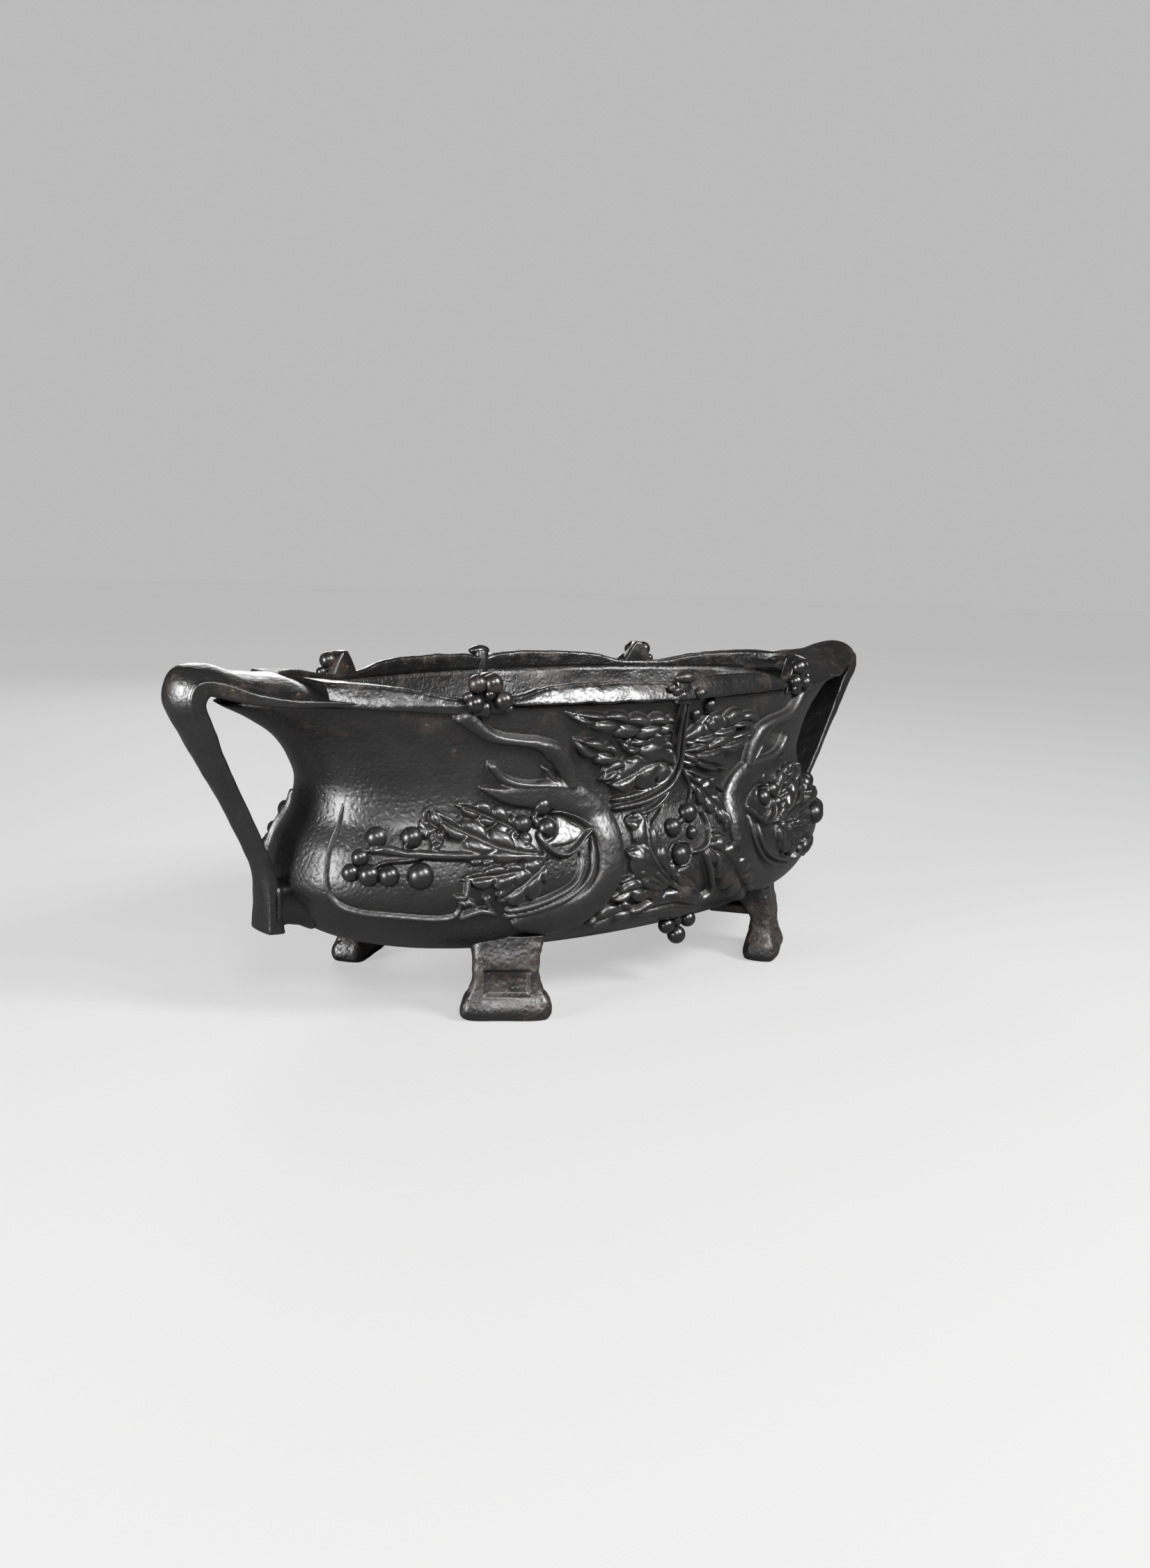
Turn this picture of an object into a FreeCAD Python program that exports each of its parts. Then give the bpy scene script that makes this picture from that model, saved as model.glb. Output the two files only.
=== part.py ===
"""Cast iron planter: a long oval bowl on four feet, with two strap handles and holly cast in relief."""
import FreeCAD
import Part
import bisect
import math
import os

Vector = FreeCAD.Vector

# Bowl, mm
underside_height = 30.0
rim_height = 175.0
rim_band_height = 10.0
rim_band_proud = 3.5
belly_length = 388.0
belly_width = 190.0
neck_length = 358.0
neck_width = 164.0
lip_length = 490.0
lip_width = 184.0
mouth_length = 380.0
mouth_width = 172.0
wall = 5.0
floor_thickness = 6.0

# Relief on the outside of the bowl, mm
frame_relief = 4.0
leaf_relief = 3.0
stem_width = 5.0
line_width = 3.5
band_width = 13.0
relief_root = 25.0
berry_radius = 5.5
crest_width = 15.0
crest_rise = 5.0
crest_depth = 9.0

# Handles, mm
handle_span = 510.0
strap_width = 26.0
strap_thickness = 7.5
lug_width = 20.0
lug_height = 12.0
lug_bottom = 48.5

# Feet, mm
foot_width = 48.0
foot_depth = 26.0
foot_spacing_x = 202.0
foot_spacing_y = 140.0
foot_panel_width = 24.0
foot_panel_height = 14.0
foot_panel_bottom = 13.0
foot_panel_depth = 1.6
foot_seat_bottom = 25.0
foot_top = 44.0
foot_seat_width = 22.0

# Fasteners, mm
screw_diameter = 5.0
foot_screw_length = 12.0
handle_screw_length = 30.0
head_diameter = 10.0
head_height = 3.0
boss_rise = 2.0
slot_width = 1.2
slot_depth = 1.5
dowel_diameter = 6.0
dowel_length = 12.0
dowel_inset = 16.0
hole_clearance = 0.1

# The bowl's outside: shares of the height from underside to rim, then weights of belly, neck and lip
body_shares = [
    (0.0, 0.63, 0.0, 0.0), (0.034, 0.785, 0.0, 0.0), (0.097, 0.905, 0.0, 0.0),
    (0.186, 0.966, 0.0, 0.0), (0.29, 1.0, 0.0, 0.0), (0.414, 0.72, 0.28, 0.0),
    (0.524, 0.15, 0.85, 0.0), (0.62, 0.0, 1.0, 0.0), (0.71, 0.0, 0.91, 0.09),
    (0.793, 0.0, 0.74, 0.26), (0.869, 0.0, 0.44, 0.56), (0.938, 0.0, 0.106, 0.894),
    (1.0, 0.0, 0.0, 1.0),
]
belly_power = 2.2
neck_power = 2.1
lip_power_x = 1.53
lip_power_y = 1.45
mouth_power_x = 1.7
mouth_power_y = 1.9
girth_share = 0.36
girth_steps = 200
round_points = 48
level_shares = (0.0, 0.01, 0.02, 0.035, 0.055, 0.08, 0.11, 0.15, 0.19, 0.23, 0.28, 0.33, 0.38, 0.43, 0.48,
                0.53, 0.58, 0.63, 0.68, 0.73, 0.78, 0.83, 0.88, 0.92, 0.96, 1.0)

# The rim's waved top: shares of half the mouth's length and of the band's height
rim_wave_shares = [
    (0.0, 0.72), (0.08, 1.0), (0.21, 1.05), (0.32, 1.0), (0.44, 0.85), (0.56, 0.38),
    (0.67, 0.36), (0.79, 0.75), (0.88, 1.0), (1.0, 1.15),
]

# The handle from hood to lower end: how far along, then shares of half the span, of the rim's height and of a
# right angle for the place and lean of the inner face, then of the strap's width and of its thickness at
# side and crown
strap_rows = [
    (0.0, 0.741, 0.914, 1.0, 1.77, 1.05, 1.2),
    (0.09, 0.806, 0.920, 1.0, 1.42, 1.05, 1.2),
    (0.17, 0.866, 0.936, 0.97, 1.05, 1.05, 1.0),
    (0.23, 0.910, 0.955, 0.85, 0.78, 1.15, 0.95),
    (0.29, 0.935, 0.961, 0.50, 0.62, 1.25, 0.88),
    (0.34, 0.943, 0.937, 0.09, 0.56, 1.13, 0.80),
    (0.40, 0.929, 0.886, -0.18, 0.50, 1.05, 0.56),
    (0.50, 0.898, 0.783, -0.28, 0.47, 0.83, 0.45),
    (0.63, 0.856, 0.656, -0.29, 0.43, 0.59, 0.40),
    (0.76, 0.813, 0.526, -0.24, 0.38, 0.56, 0.35),
    (0.85, 0.788, 0.440, -0.13, 0.35, 0.72, 0.24),
    (0.93, 0.775, 0.354, 0.0, 0.36, 1.05, 0.16),
    (1.0, 0.771, 0.269, 0.04, 0.41, 1.25, 0.13),
]
strap_power = 6.0
crown_power = 2.3
strap_points = 24
strap_rings = 27

# A foot from the floor up: shares of the height to the bowl's belly, of half its width and of half its
# depth, and how far it is set back as a share of half its depth
foot_shares = [
    (0.0, 0.94, 0.72, 0.0), (0.09, 1.0, 0.78, 0.0), (0.22, 0.95, 0.72, 0.0), (0.36, 0.80, 0.62, 0.0),
    (0.52, 0.72, 0.56, 0.0), (0.70, 0.72, 0.66, 0.10), (1.0, 0.84, 1.0, 0.35),
]
foot_power = 5.0
foot_points = 24

# Relief on the right front quarter: shares of half the girth from the front's middle, and of the rim's height
frame_band_shares = [
    (0.46, 0.30), (0.38, 0.303), (0.31, 0.32), (0.255, 0.36), (0.225, 0.41), (0.213, 0.46), (0.212, 0.52),
    (0.222, 0.575), (0.25, 0.62), (0.30, 0.66), (0.35, 0.68),
]
frame_ridge_shares = [
    (0.48, 0.335), (0.40, 0.35), (0.33, 0.38), (0.287, 0.415), (0.268, 0.46), (0.268, 0.53),
]
ear_line_shares = [
    (0.56, 0.895), (0.53, 0.865), (0.50, 0.848), (0.45, 0.837), (0.40, 0.825), (0.37, 0.80), (0.345, 0.755),
    (0.33, 0.70), (0.335, 0.675),
]
inner_ear_shares = [
    (0.515, 0.76), (0.503, 0.733), (0.48, 0.713), (0.44, 0.703), (0.38, 0.698), (0.335, 0.685),
]
end_line_shares = [
    (0.868, 0.62), (0.868, 0.48), (0.86, 0.42), (0.84, 0.375), (0.80, 0.352), (0.72, 0.343), (0.64, 0.335),
    (0.60, 0.342),
]
frame_knot_shares = [
    (0.455, 0.325), (0.53, 0.335), (0.62, 0.325), (0.615, 0.355), (0.58, 0.385), (0.545, 0.365),
    (0.50, 0.385),
    (0.46, 0.36),
]
heart_shares = [
    (0.262, 0.555), (0.29, 0.585), (0.32, 0.61), (0.36, 0.625), (0.40, 0.62), (0.41, 0.575), (0.39, 0.53),
    (0.36, 0.50), (0.33, 0.49), (0.30, 0.51), (0.285, 0.535),
]
spray_leaf_shares = [
    [(0.37, 0.485), (0.44, 0.505), (0.51, 0.52), (0.57, 0.55), (0.62, 0.59), (0.66, 0.64), (0.65, 0.59),
     (0.69, 0.60), (0.64, 0.56), (0.62, 0.525), (0.56, 0.505), (0.50, 0.495), (0.44, 0.485)],
    [(0.43, 0.495), (0.47, 0.57), (0.52, 0.61), (0.56, 0.63), (0.605, 0.65), (0.59, 0.615), (0.55, 0.585),
     (0.50, 0.545)],
    [(0.38, 0.47), (0.43, 0.475), (0.49, 0.47), (0.57, 0.46), (0.555, 0.43), (0.56, 0.395), (0.51, 0.415),
     (0.48, 0.385), (0.46, 0.415), (0.42, 0.38), (0.40, 0.42)],
]
spray_stem_shares = [
    [(0.36, 0.515), (0.40, 0.505), (0.50, 0.505), (0.60, 0.508), (0.70, 0.515), (0.80, 0.52)],
    [(0.39, 0.51), (0.40, 0.465)],
    [(0.437, 0.495), (0.437, 0.55)],
    [(0.78, 0.52), (0.775, 0.56)],
    [(0.695, 0.515), (0.697, 0.56)],
    [(0.60, 0.508), (0.64, 0.475), (0.67, 0.457), (0.74, 0.455), (0.82, 0.458)],
]
spray_berry_shares = [
    (0.38, 0.57, 1.0), (0.445, 0.59, 0.92), (0.397, 0.637, 0.92), (0.437, 0.55, 0.75), (0.775, 0.565, 1.05),
    (0.697, 0.562, 1.1), (0.805, 0.507, 0.65), (0.822, 0.46, 0.7), (0.777, 0.455, 1.0), (0.737, 0.455, 0.92),
    (0.665, 0.457, 1.2),
]

# Relief on the front's middle, measured the same way, where left is negative
stalk_shares = [
    (-0.21, 0.625), (-0.15, 0.635), (-0.08, 0.645), (-0.02, 0.67), (0.015, 0.705), (0.03, 0.76),
    (0.028, 0.83),
    (0.022, 0.89), (0.02, 0.945),
]
twig_shares = [
    [(0.025, 0.72), (0.07, 0.66), (0.095, 0.60), (0.102, 0.52), (0.085, 0.475), (0.055, 0.46), (0.02, 0.455)],
    [(0.07, 0.455), (0.09, 0.40), (0.107, 0.35), (0.113, 0.31), (0.095, 0.285), (0.06, 0.283), (0.02, 0.29)],
    [(-0.09, 0.86), (0.028, 0.835)],
    [(-0.22, 0.785), (-0.10, 0.76)],
    [(-0.04, 0.765), (0.03, 0.75)],
    [(-0.08, 0.58), (-0.05, 0.65)],
    [(-0.09, 0.45), (-0.09, 0.38)],
    [(-0.015, 0.535), (0.05, 0.55), (0.11, 0.55)],
    [(0.148, 0.91), (0.14, 0.85), (0.15, 0.78)],
    [(-0.165, 0.81), (-0.16, 0.86)],
]
centre_leaf_shares = [
    [(-0.36, 0.92), (-0.33, 0.885), (-0.29, 0.88), (-0.26, 0.865), (-0.21, 0.87), (-0.18, 0.84),
     (-0.12, 0.84),
     (-0.07, 0.865), (-0.12, 0.885), (-0.17, 0.875), (-0.21, 0.895), (-0.26, 0.89), (-0.30, 0.91)],
    [(-0.32, 0.84), (-0.29, 0.79), (-0.25, 0.775), (-0.21, 0.76), (-0.20, 0.80), (-0.25, 0.815)],
    [(-0.07, 0.81), (-0.11, 0.76), (-0.15, 0.72), (-0.20, 0.69), (-0.14, 0.68), (-0.09, 0.69), (-0.03, 0.69),
     (-0.01, 0.74), (-0.03, 0.78)],
    [(0.03, 0.765), (0.10, 0.79), (0.15, 0.80), (0.17, 0.84), (0.22, 0.83), (0.27, 0.87), (0.30, 0.84),
     (0.36, 0.83), (0.30, 0.79), (0.23, 0.76), (0.22, 0.735), (0.15, 0.735), (0.10, 0.75)],
    [(0.022, 0.735), (0.10, 0.71), (0.16, 0.70), (0.19, 0.67), (0.16, 0.65), (0.11, 0.66), (0.08, 0.68)],
    [(-0.17, 0.57), (-0.13, 0.58), (-0.08, 0.60), (-0.04, 0.57), (-0.07, 0.52), (-0.06, 0.46), (-0.10, 0.42),
     (-0.15, 0.45), (-0.17, 0.49), (-0.11, 0.51), (-0.12, 0.545)],
    [(-0.20, 0.405), (-0.14, 0.415), (-0.09, 0.40), (-0.03, 0.385), (0.0, 0.36), (-0.06, 0.355),
     (-0.12, 0.36),
     (-0.16, 0.37)],
    [(0.09, 0.48), (0.125, 0.465), (0.155, 0.478), (0.175, 0.455), (0.184, 0.42), (0.2, 0.368), (0.23, 0.317),
     (0.29, 0.262), (0.24, 0.275), (0.21, 0.31), (0.185, 0.305), (0.155, 0.355), (0.13, 0.38), (0.11, 0.43)],
    [(-0.15, 0.29), (-0.12, 0.33), (-0.06, 0.345), (0.0, 0.33), (0.05, 0.30), (0.08, 0.27), (0.0, 0.245),
     (-0.08, 0.245), (-0.12, 0.26)],
]
centre_berry_shares = [
    (0.055, 0.57, 1.1), (-0.015, 0.535, 1.0), (0.047, 0.515, 0.8), (-0.005, 0.455, 1.15), (0.148, 0.91, 0.9),
    (0.14, 0.85, 0.75), (0.19, 0.85, 0.75), (-0.165, 0.81, 0.7),
]

# A cluster of berries on the rim: shares of the berry's radius along the rim, outwards and up, and its size
rim_cluster_shares = [
    (-1.3, 0.5, -0.7, 0.75), (0.1, 0.9, -1.0, 0.85), (1.5, 0.5, -0.8, 0.8), (-0.7, 0.3, 0.35, 0.7),
    (0.8, 0.3, 0.4, 0.8), (0.0, 0.0, 1.1, 0.65),
]
rim_cluster_share = 0.478
rim_tab_shares = [(-2.4, -1.6), (2.4, -1.6), (1.3, 0.4), (0.35, 1.5), (-0.35, 1.5), (-1.3, 0.4)]
rim_tab_depth_share = 0.9

# Berries that hang under the belly: shares of the berry's radius along X, inwards and down, and their size
pendant_shares = [
    (-1.0, 0.0, 0.0, 0.68), (0.8, 0.1, -0.1, 0.6), (-0.1, 0.1, 0.1, 0.55), (-0.1, 0.2, 0.95, 0.76),
]
pendant_level_share = 0.238
pendant_out_share = 0.905

quarter_lean_share = 0.58
small_turn = 0.01

seat_level = rim_height - rim_band_height
half_span = handle_span / 2
rise = rim_height - underside_height
floor_top = underside_height + floor_thickness
quarter_lean = quarter_lean_share * math.atan2(belly_length, belly_width)


def smooth(rows, column, at):
    """Monotone curve through one column of a table, read at a share of the height."""
    xs = [row[0] for row in rows]
    ys = [row[column] for row in rows]
    steps = [b - a for a, b in zip(xs, xs[1:])]
    slopes = [(b - a) / h for a, b, h in zip(ys, ys[1:], steps)]
    tangents = [slopes[0]]
    for k in range(1, len(slopes)):
        before, after = slopes[k - 1], slopes[k]
        if before * after <= 0:
            tangents.append(0.0)
            continue
        left = 2 * steps[k] + steps[k - 1]
        right = steps[k] + 2 * steps[k - 1]
        tangents.append((left + right) / (left / before + right / after))
    tangents.append(slopes[-1])
    k = min(max(bisect.bisect_right(xs, at) - 1, 0), len(steps) - 1)
    h = steps[k]
    t = (at - xs[k]) / h
    return ((1 + 2 * t) * (1 - t) ** 2 * ys[k] + t * (1 - t) ** 2 * h * tangents[k]
            + t * t * (3 - 2 * t) * ys[k + 1] + t * t * (t - 1) * h * tangents[k + 1])


def signed_power(value, power):
    return math.copysign(abs(value) ** power, value)


def ring_point(half_x, half_y, power_x, power_y, turn, z):
    x = half_x * signed_power(math.cos(turn), 2 / power_x)
    y = half_y * signed_power(math.sin(turn), 2 / power_y)
    return Vector(x, y, z)


def weights(z):
    share = (z - underside_height) / rise
    return [smooth(body_shares, column, share) for column in (1, 2, 3)]


def skin_point(z, turn, grow=0.0):
    """A point of the bowl's outside at height z, moved out by grow."""
    belly, neck, lip = weights(z)
    total = belly + neck + lip
    half_x = (belly * belly_length + neck * neck_length + lip * lip_length) / 2 + grow
    half_y = (belly * belly_width + neck * neck_width + lip * lip_width) / 2 + grow
    power_x = ((belly * belly_power + neck * neck_power) + lip * lip_power_x) / total
    power_y = ((belly * belly_power + neck * neck_power) + lip * lip_power_y) / total
    return ring_point(half_x, half_y, power_x, power_y, turn, z)


def cavity_point(z, turn):
    """A point of the bowl's inside, which leaves the ends of the lip solid."""
    belly, neck, lip = weights(z)
    total = belly + neck + lip
    walls = 2 * wall * (belly + neck)
    half_x = (belly * belly_length + neck * neck_length + lip * mouth_length - walls) / 2
    half_y = (belly * belly_width + neck * neck_width + lip * mouth_width - walls) / 2
    power_x = (belly * belly_power + neck * neck_power + lip * mouth_power_x) / total
    power_y = (belly * belly_power + neck * neck_power + lip * mouth_power_y) / total
    return ring_point(half_x, half_y, power_x, power_y, turn, z)


def lip_point(turn, grow, z):
    return ring_point(lip_length / 2 + grow, lip_width / 2 + grow, lip_power_x, lip_power_y, turn, z)


def turns(count=round_points):
    return [2 * math.pi * k / count for k in range(count)]


def ring_wire(points):
    curve = Part.BSplineCurve()
    curve.interpolate(points, PeriodicFlag=True)
    return Part.Wire(curve.toShape())


def tube(rings):
    """A solid through closed rings of points, flat at both ends."""
    surface = Part.BSplineSurface()
    surface.interpolate([ring + ring[:1] for ring in rings])
    first, last = surface.bounds()[:2]
    ends = [Part.Face(Part.Wire(surface.uIso(k).toShape())) for k in (first, last)]
    shell = Part.makeShell([surface.toShape()] + ends)
    shell.sewShape()
    solid = Part.makeSolid(shell)
    if solid.Volume < 0:
        solid.reverse()
    return solid


def levels(bottom, top):
    return [bottom + (top - bottom) * share for share in level_shares]


def skin_solid(grow):
    return tube([[skin_point(z, t, grow) for t in turns()] for z in levels(underside_height, seat_level)])


def girth_table():
    """Lengths along the front of the belly from its middle to its right end, with the turn at each."""
    level = underside_height + girth_share * rise
    angles = [-math.pi / 2 * (1 - k / girth_steps) for k in range(girth_steps + 1)]
    points = [skin_point(level, t) for t in angles]
    lengths = [0.0]
    for a, b in zip(points, points[1:]):
        lengths.append(lengths[-1] + a.distanceToPoint(b))
    return lengths, angles


def turn_at(share):
    """The turn at a share of half the girth from the front's middle, left where the share is negative."""
    at = abs(share) * girth_lengths[-1]
    k = min(bisect.bisect_right(girth_lengths, at), len(girth_lengths) - 1)
    part = (at - girth_lengths[k - 1]) / (girth_lengths[k] - girth_lengths[k - 1])
    turn = girth_turns[k - 1] + part * (girth_turns[k] - girth_turns[k - 1])
    return turn if share >= 0 else -math.pi - turn


def on_skin(place):
    """A place given by its shares of half the girth and of the rim's height."""
    return skin_point(place[1] * rim_height, turn_at(place[0]))


def ribbon(places, width):
    """An outline of one width along a line of places."""
    flat = [(u * girth_lengths[-1], v * rim_height) for u, v in places]
    left, right = [], []
    for k, (x, z) in enumerate(flat):
        before, after = flat[max(k - 1, 0)], flat[min(k + 1, len(flat) - 1)]
        along = (after[0] - before[0], after[1] - before[1])
        step = width / 2 / math.hypot(*along)
        aside = (-along[1] * step, along[0] * step)
        left.append(((x + aside[0]) / girth_lengths[-1], (z + aside[1]) / rim_height))
        right.append(((x - aside[0]) / girth_lengths[-1], (z - aside[1]) / rim_height))
    return left + right[::-1]


def relief(outlines, berries, layer, lean):
    """Outlines and berries raised on the bowl, cut along one level direction that leans to the right."""
    out = Vector(math.sin(lean), -math.cos(lean), 0)
    blocks = []
    for outline in outlines:
        corners = [on_skin(place) for place in outline]
        start = min(corner.dot(out) for corner in corners) - relief_root
        reach = max(corner.dot(out) for corner in corners) - start + relief_root
        flat = [corner + out * (start - corner.dot(out)) for corner in corners]
        blocks.append(Part.Face(Part.makePolygon(flat + flat[:1])).extrude(out * reach))
    solid = blocks[0].multiFuse(blocks[1:]) if len(blocks) > 1 else blocks[0]
    solid = solid.common(layer)
    balls = [Part.makeSphere(berry_radius * size, on_skin((u, v))) for u, v, size in berries]
    if balls:
        solid = solid.multiFuse(balls)
    return solid.cut(bowl_skin)


def mirrored(shape, left, back):
    if left:
        shape = shape.mirror(Vector(), Vector(1, 0, 0))
    if back:
        shape = shape.mirror(Vector(), Vector(0, 1, 0))
    return shape


def upright(x, y, bottom, top, diameter):
    return Part.makeCylinder(diameter / 2, top - bottom, Vector(x, y, bottom))


def turned_box(middle, turn, length, width, bottom, top):
    """A block over a middle, with its length along the direction turn."""
    box = Part.makeBox(length, width, top - bottom, Vector(-length / 2, -width / 2, bottom))
    box.rotate(Vector(), Vector(0, 0, 1), math.degrees(turn))
    box.translate(middle)
    return box


def save(name, shape):
    shape.exportStep("parts/" + name + ".step")
    print(name, "solids", len(shape.Solids), "volume", round(shape.Volume), "valid", shape.isValid())


# Feet and the screws that hold them
foot_x = foot_spacing_x / 2
foot_y = foot_spacing_y / 2
foot_turn = math.atan2(foot_y * belly_length, foot_x * belly_width)
screw_inset = foot_depth / 2 + head_diameter
screw_x = foot_x - screw_inset * math.cos(foot_turn)
screw_y = foot_y - screw_inset * math.sin(foot_turn)

# Handles, their screws and dowels
hood_start = cavity_point(seat_level, 0.0).x
lug_middle = lug_bottom + lug_height / 2
boss_diameter = head_diameter + 2 * slot_width
boss_face = cavity_point(lug_middle - boss_diameter / 2, 0.0).x - boss_rise
dowel_x = hood_start + dowel_inset

girth_lengths, girth_turns = girth_table()
bowl_skin = skin_solid(0.0)
leaf_layer = skin_solid(leaf_relief)
frame_layer = skin_solid(frame_relief)


def make_bowl():
    rings = [[cavity_point(z, t) for t in turns()] for z in levels(floor_top, seat_level)]
    bowl = bowl_skin.cut(tube(rings))
    hole = screw_diameter + 2 * hole_clearance
    boss = Part.makeCylinder(boss_diameter / 2, boss_face, Vector(boss_face, 0, lug_middle), Vector(1, 0, 0))
    boss = boss.common(skin_solid(-wall / 2))
    side_hole = Part.makeCylinder(hole / 2, boss_face, Vector(boss_face, 0, lug_middle), Vector(1, 0, 0))
    dowel_hole = upright(dowel_x, 0, seat_level - dowel_length / 2, seat_level, dowel_diameter)
    foot_hole = upright(screw_x, screw_y, 0, floor_top, hole)
    for left in (False, True):
        bowl = bowl.fuse(mirrored(boss, left, False))
    cutters = [mirrored(cutter, left, False) for left in (False, True) for cutter in (side_hole, dowel_hole)]
    cutters += [mirrored(foot_hole, left, back) for left in (False, True) for back in (False, True)]
    return bowl.cut(cutters)


def make_rim_band():
    """The front's long band on the rim, canted outwards, with a waved top edge."""
    crown = seat_level + 2 * rim_band_height
    foot_ring = ring_wire([lip_point(t, rim_band_proud, seat_level) for t in turns()])
    top_ring = ring_wire([lip_point(t, -rim_band_proud, crown) for t in turns()])
    band = Part.makeLoft([foot_ring, top_ring], True, True)
    mouth = Part.Face(ring_wire([cavity_point(seat_level, t) for t in turns()]))
    band = band.cut(mouth.extrude(Vector(0, 0, crown - seat_level)))
    wave = [(share * hood_start, seat_level + up * rim_band_height) for share, up in rim_wave_shares]
    profile = [(-x, z) for x, z in reversed(wave[1:])] + wave
    curve = Part.BSplineCurve()
    curve.interpolate([Vector(x, -lip_width, z) for x, z in profile])
    corners = [Vector(hood_start, -lip_width, profile[-1][1]), Vector(hood_start, -lip_width, seat_level),
               Vector(-hood_start, -lip_width, seat_level), Vector(-hood_start, -lip_width, profile[0][1])]
    outline = Part.Wire([curve.toShape()] + Part.makePolygon(corners).Edges)
    half = Part.Face(outline).extrude(Vector(0, lip_width, 0))
    return band.common(half)


def strap_ring(at):
    """One ring of the strap: a flat inner face, round edges and a crowned outer face."""
    along, height, lean, width, side, crown = (smooth(strap_rows, column, at) for column in range(1, 7))
    middle = Vector(along * half_span, 0, height * rim_height)
    out = Vector(math.cos(lean * math.pi / 2), 0, math.sin(lean * math.pi / 2))
    ring = []
    for t in turns(strap_points):
        across = width * strap_width * signed_power(math.cos(t), 2 / strap_power)
        half_side = side * strap_thickness / 2
        reach = half_side + (crown * strap_thickness if math.sin(t) > 0 else 0)
        power = crown_power if math.sin(t) > 0 else strap_power
        level = half_side + reach * signed_power(math.sin(t), 2 / power)
        ring.append(middle + Vector(0, across, 0) + out * level)
    return ring


def make_handle():
    count = strap_rings - 1
    strap = tube([strap_ring(k / count) for k in range(strap_rings)])
    lug_end = strap_rows[-1][1] * half_span + strap_thickness
    lug_corner = Vector(boss_face, -lug_width / 2, lug_bottom)
    lug = Part.makeBox(lug_end - boss_face, lug_width, lug_height, lug_corner)
    handle = strap.fuse(lug).cut(bowl_skin)
    screw_hole = Part.makeCylinder(screw_diameter / 2, handle_screw_length, Vector(boss_face, 0, lug_middle),
                                   Vector(1, 0, 0))
    return handle.cut([screw_hole, make_dowel()])


def make_foot():
    out = Vector(math.cos(foot_turn), math.sin(foot_turn), 0)
    across = Vector(-out.y, out.x, 0)
    middle = Vector(foot_x, foot_y, 0)
    rings = []
    for height_share, width_share, depth_share, back_share in foot_shares:
        ring = []
        for t in turns(foot_points):
            aside = foot_width / 2 * width_share * signed_power(math.cos(t), 2 / foot_power)
            forward = foot_depth / 2 * (depth_share * signed_power(math.sin(t), 2 / foot_power) - back_share)
            ring.append(middle + Vector(0, 0, height_share * foot_top) + out * forward + across * aside)
        rings.append(ring)
    foot = tube(rings)
    seat_length = screw_inset + head_diameter
    seat = turned_box(middle - out * (seat_length / 2), foot_turn, seat_length, foot_seat_width,
                      foot_seat_bottom, foot_top)
    panel_out = foot_depth / 2 * min(row[2] for row in foot_shares) - foot_panel_depth + foot_depth / 2
    panel = turned_box(middle + out * panel_out, foot_turn, foot_depth, foot_panel_width, foot_panel_bottom,
                       foot_panel_bottom + foot_panel_height)
    hole = upright(screw_x, screw_y, floor_top - foot_screw_length, floor_top, screw_diameter)
    return foot.fuse(seat).cut([panel, hole]).cut(bowl_skin)


def screw(length):
    """A slotted screw with its head's underside at the origin and its shank along -Z."""
    shank = Part.makeCylinder(screw_diameter / 2, length, Vector(0, 0, -length))
    head = Part.makeCylinder(head_diameter / 2, head_height)
    slot = Part.makeBox(head_diameter, slot_width, slot_depth,
                        Vector(-head_diameter / 2, -slot_width / 2, head_height - slot_depth))
    return shank.fuse(head).cut(slot)


def make_foot_screws():
    one = screw(foot_screw_length)
    one.translate(Vector(screw_x, screw_y, floor_top))
    return Part.makeCompound([mirrored(one, left, back) for left in (False, True) for back in (False, True)])


def make_handle_screws():
    one = screw(handle_screw_length)
    one.rotate(Vector(), Vector(0, 1, 0), -90)
    one.translate(Vector(boss_face, 0, lug_middle))
    return Part.makeCompound([one, mirrored(one, True, False)])


def make_dowel():
    return upright(dowel_x, 0, seat_level - dowel_length / 2, seat_level + dowel_length / 2, dowel_diameter)


def make_handle_dowels():
    one = make_dowel()
    return Part.makeCompound([one, mirrored(one, True, False)])


def make_cartouche_frame():
    outlines = [ribbon(frame_band_shares, band_width), ribbon(frame_ridge_shares, line_width),
                ribbon(ear_line_shares, line_width), ribbon(inner_ear_shares, line_width),
                ribbon(end_line_shares, line_width), frame_knot_shares]
    return relief(outlines, [], frame_layer, quarter_lean)


def make_holly_spray():
    outlines = spray_leaf_shares + [heart_shares] + [ribbon(stem, stem_width) for stem in spray_stem_shares]
    return relief(outlines, spray_berry_shares, leaf_layer, quarter_lean)


def make_centre_holly():
    outlines = centre_leaf_shares + [ribbon(line, stem_width) for line in [stalk_shares] + twig_shares]
    return relief(outlines, centre_berry_shares, leaf_layer, 0.0)


def make_rim_berries(rim_band):
    """A cluster of berries that stands up from the rim on a leaf-shaped tab."""
    along_x = rim_cluster_share * lip_length / 2
    turn = -math.acos(signed_power(along_x / (lip_length / 2), lip_power_x / 2))
    place = lip_point(turn, 0, rim_height)
    side_a, side_b = lip_point(turn - small_turn, 0, rim_height), lip_point(turn + small_turn, 0, rim_height)
    along = (side_b - side_a).normalize()
    out = Vector(along.y, -along.x, 0)
    up = Vector(0, 0, 1)
    radius = berry_radius
    balls = [Part.makeSphere(radius * size, place + (along * a + out * b + up * c) * radius)
             for a, b, c, size in rim_cluster_shares]
    thick = rim_tab_depth_share * radius
    corners = [place + (along * a + up * c) * radius - out * (thick / 2) for a, c in rim_tab_shares]
    tab = Part.Face(Part.makePolygon(corners + corners[:1])).extrude(out * thick)
    return tab.multiFuse(balls).cut([rim_band, bowl_skin])


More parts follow.
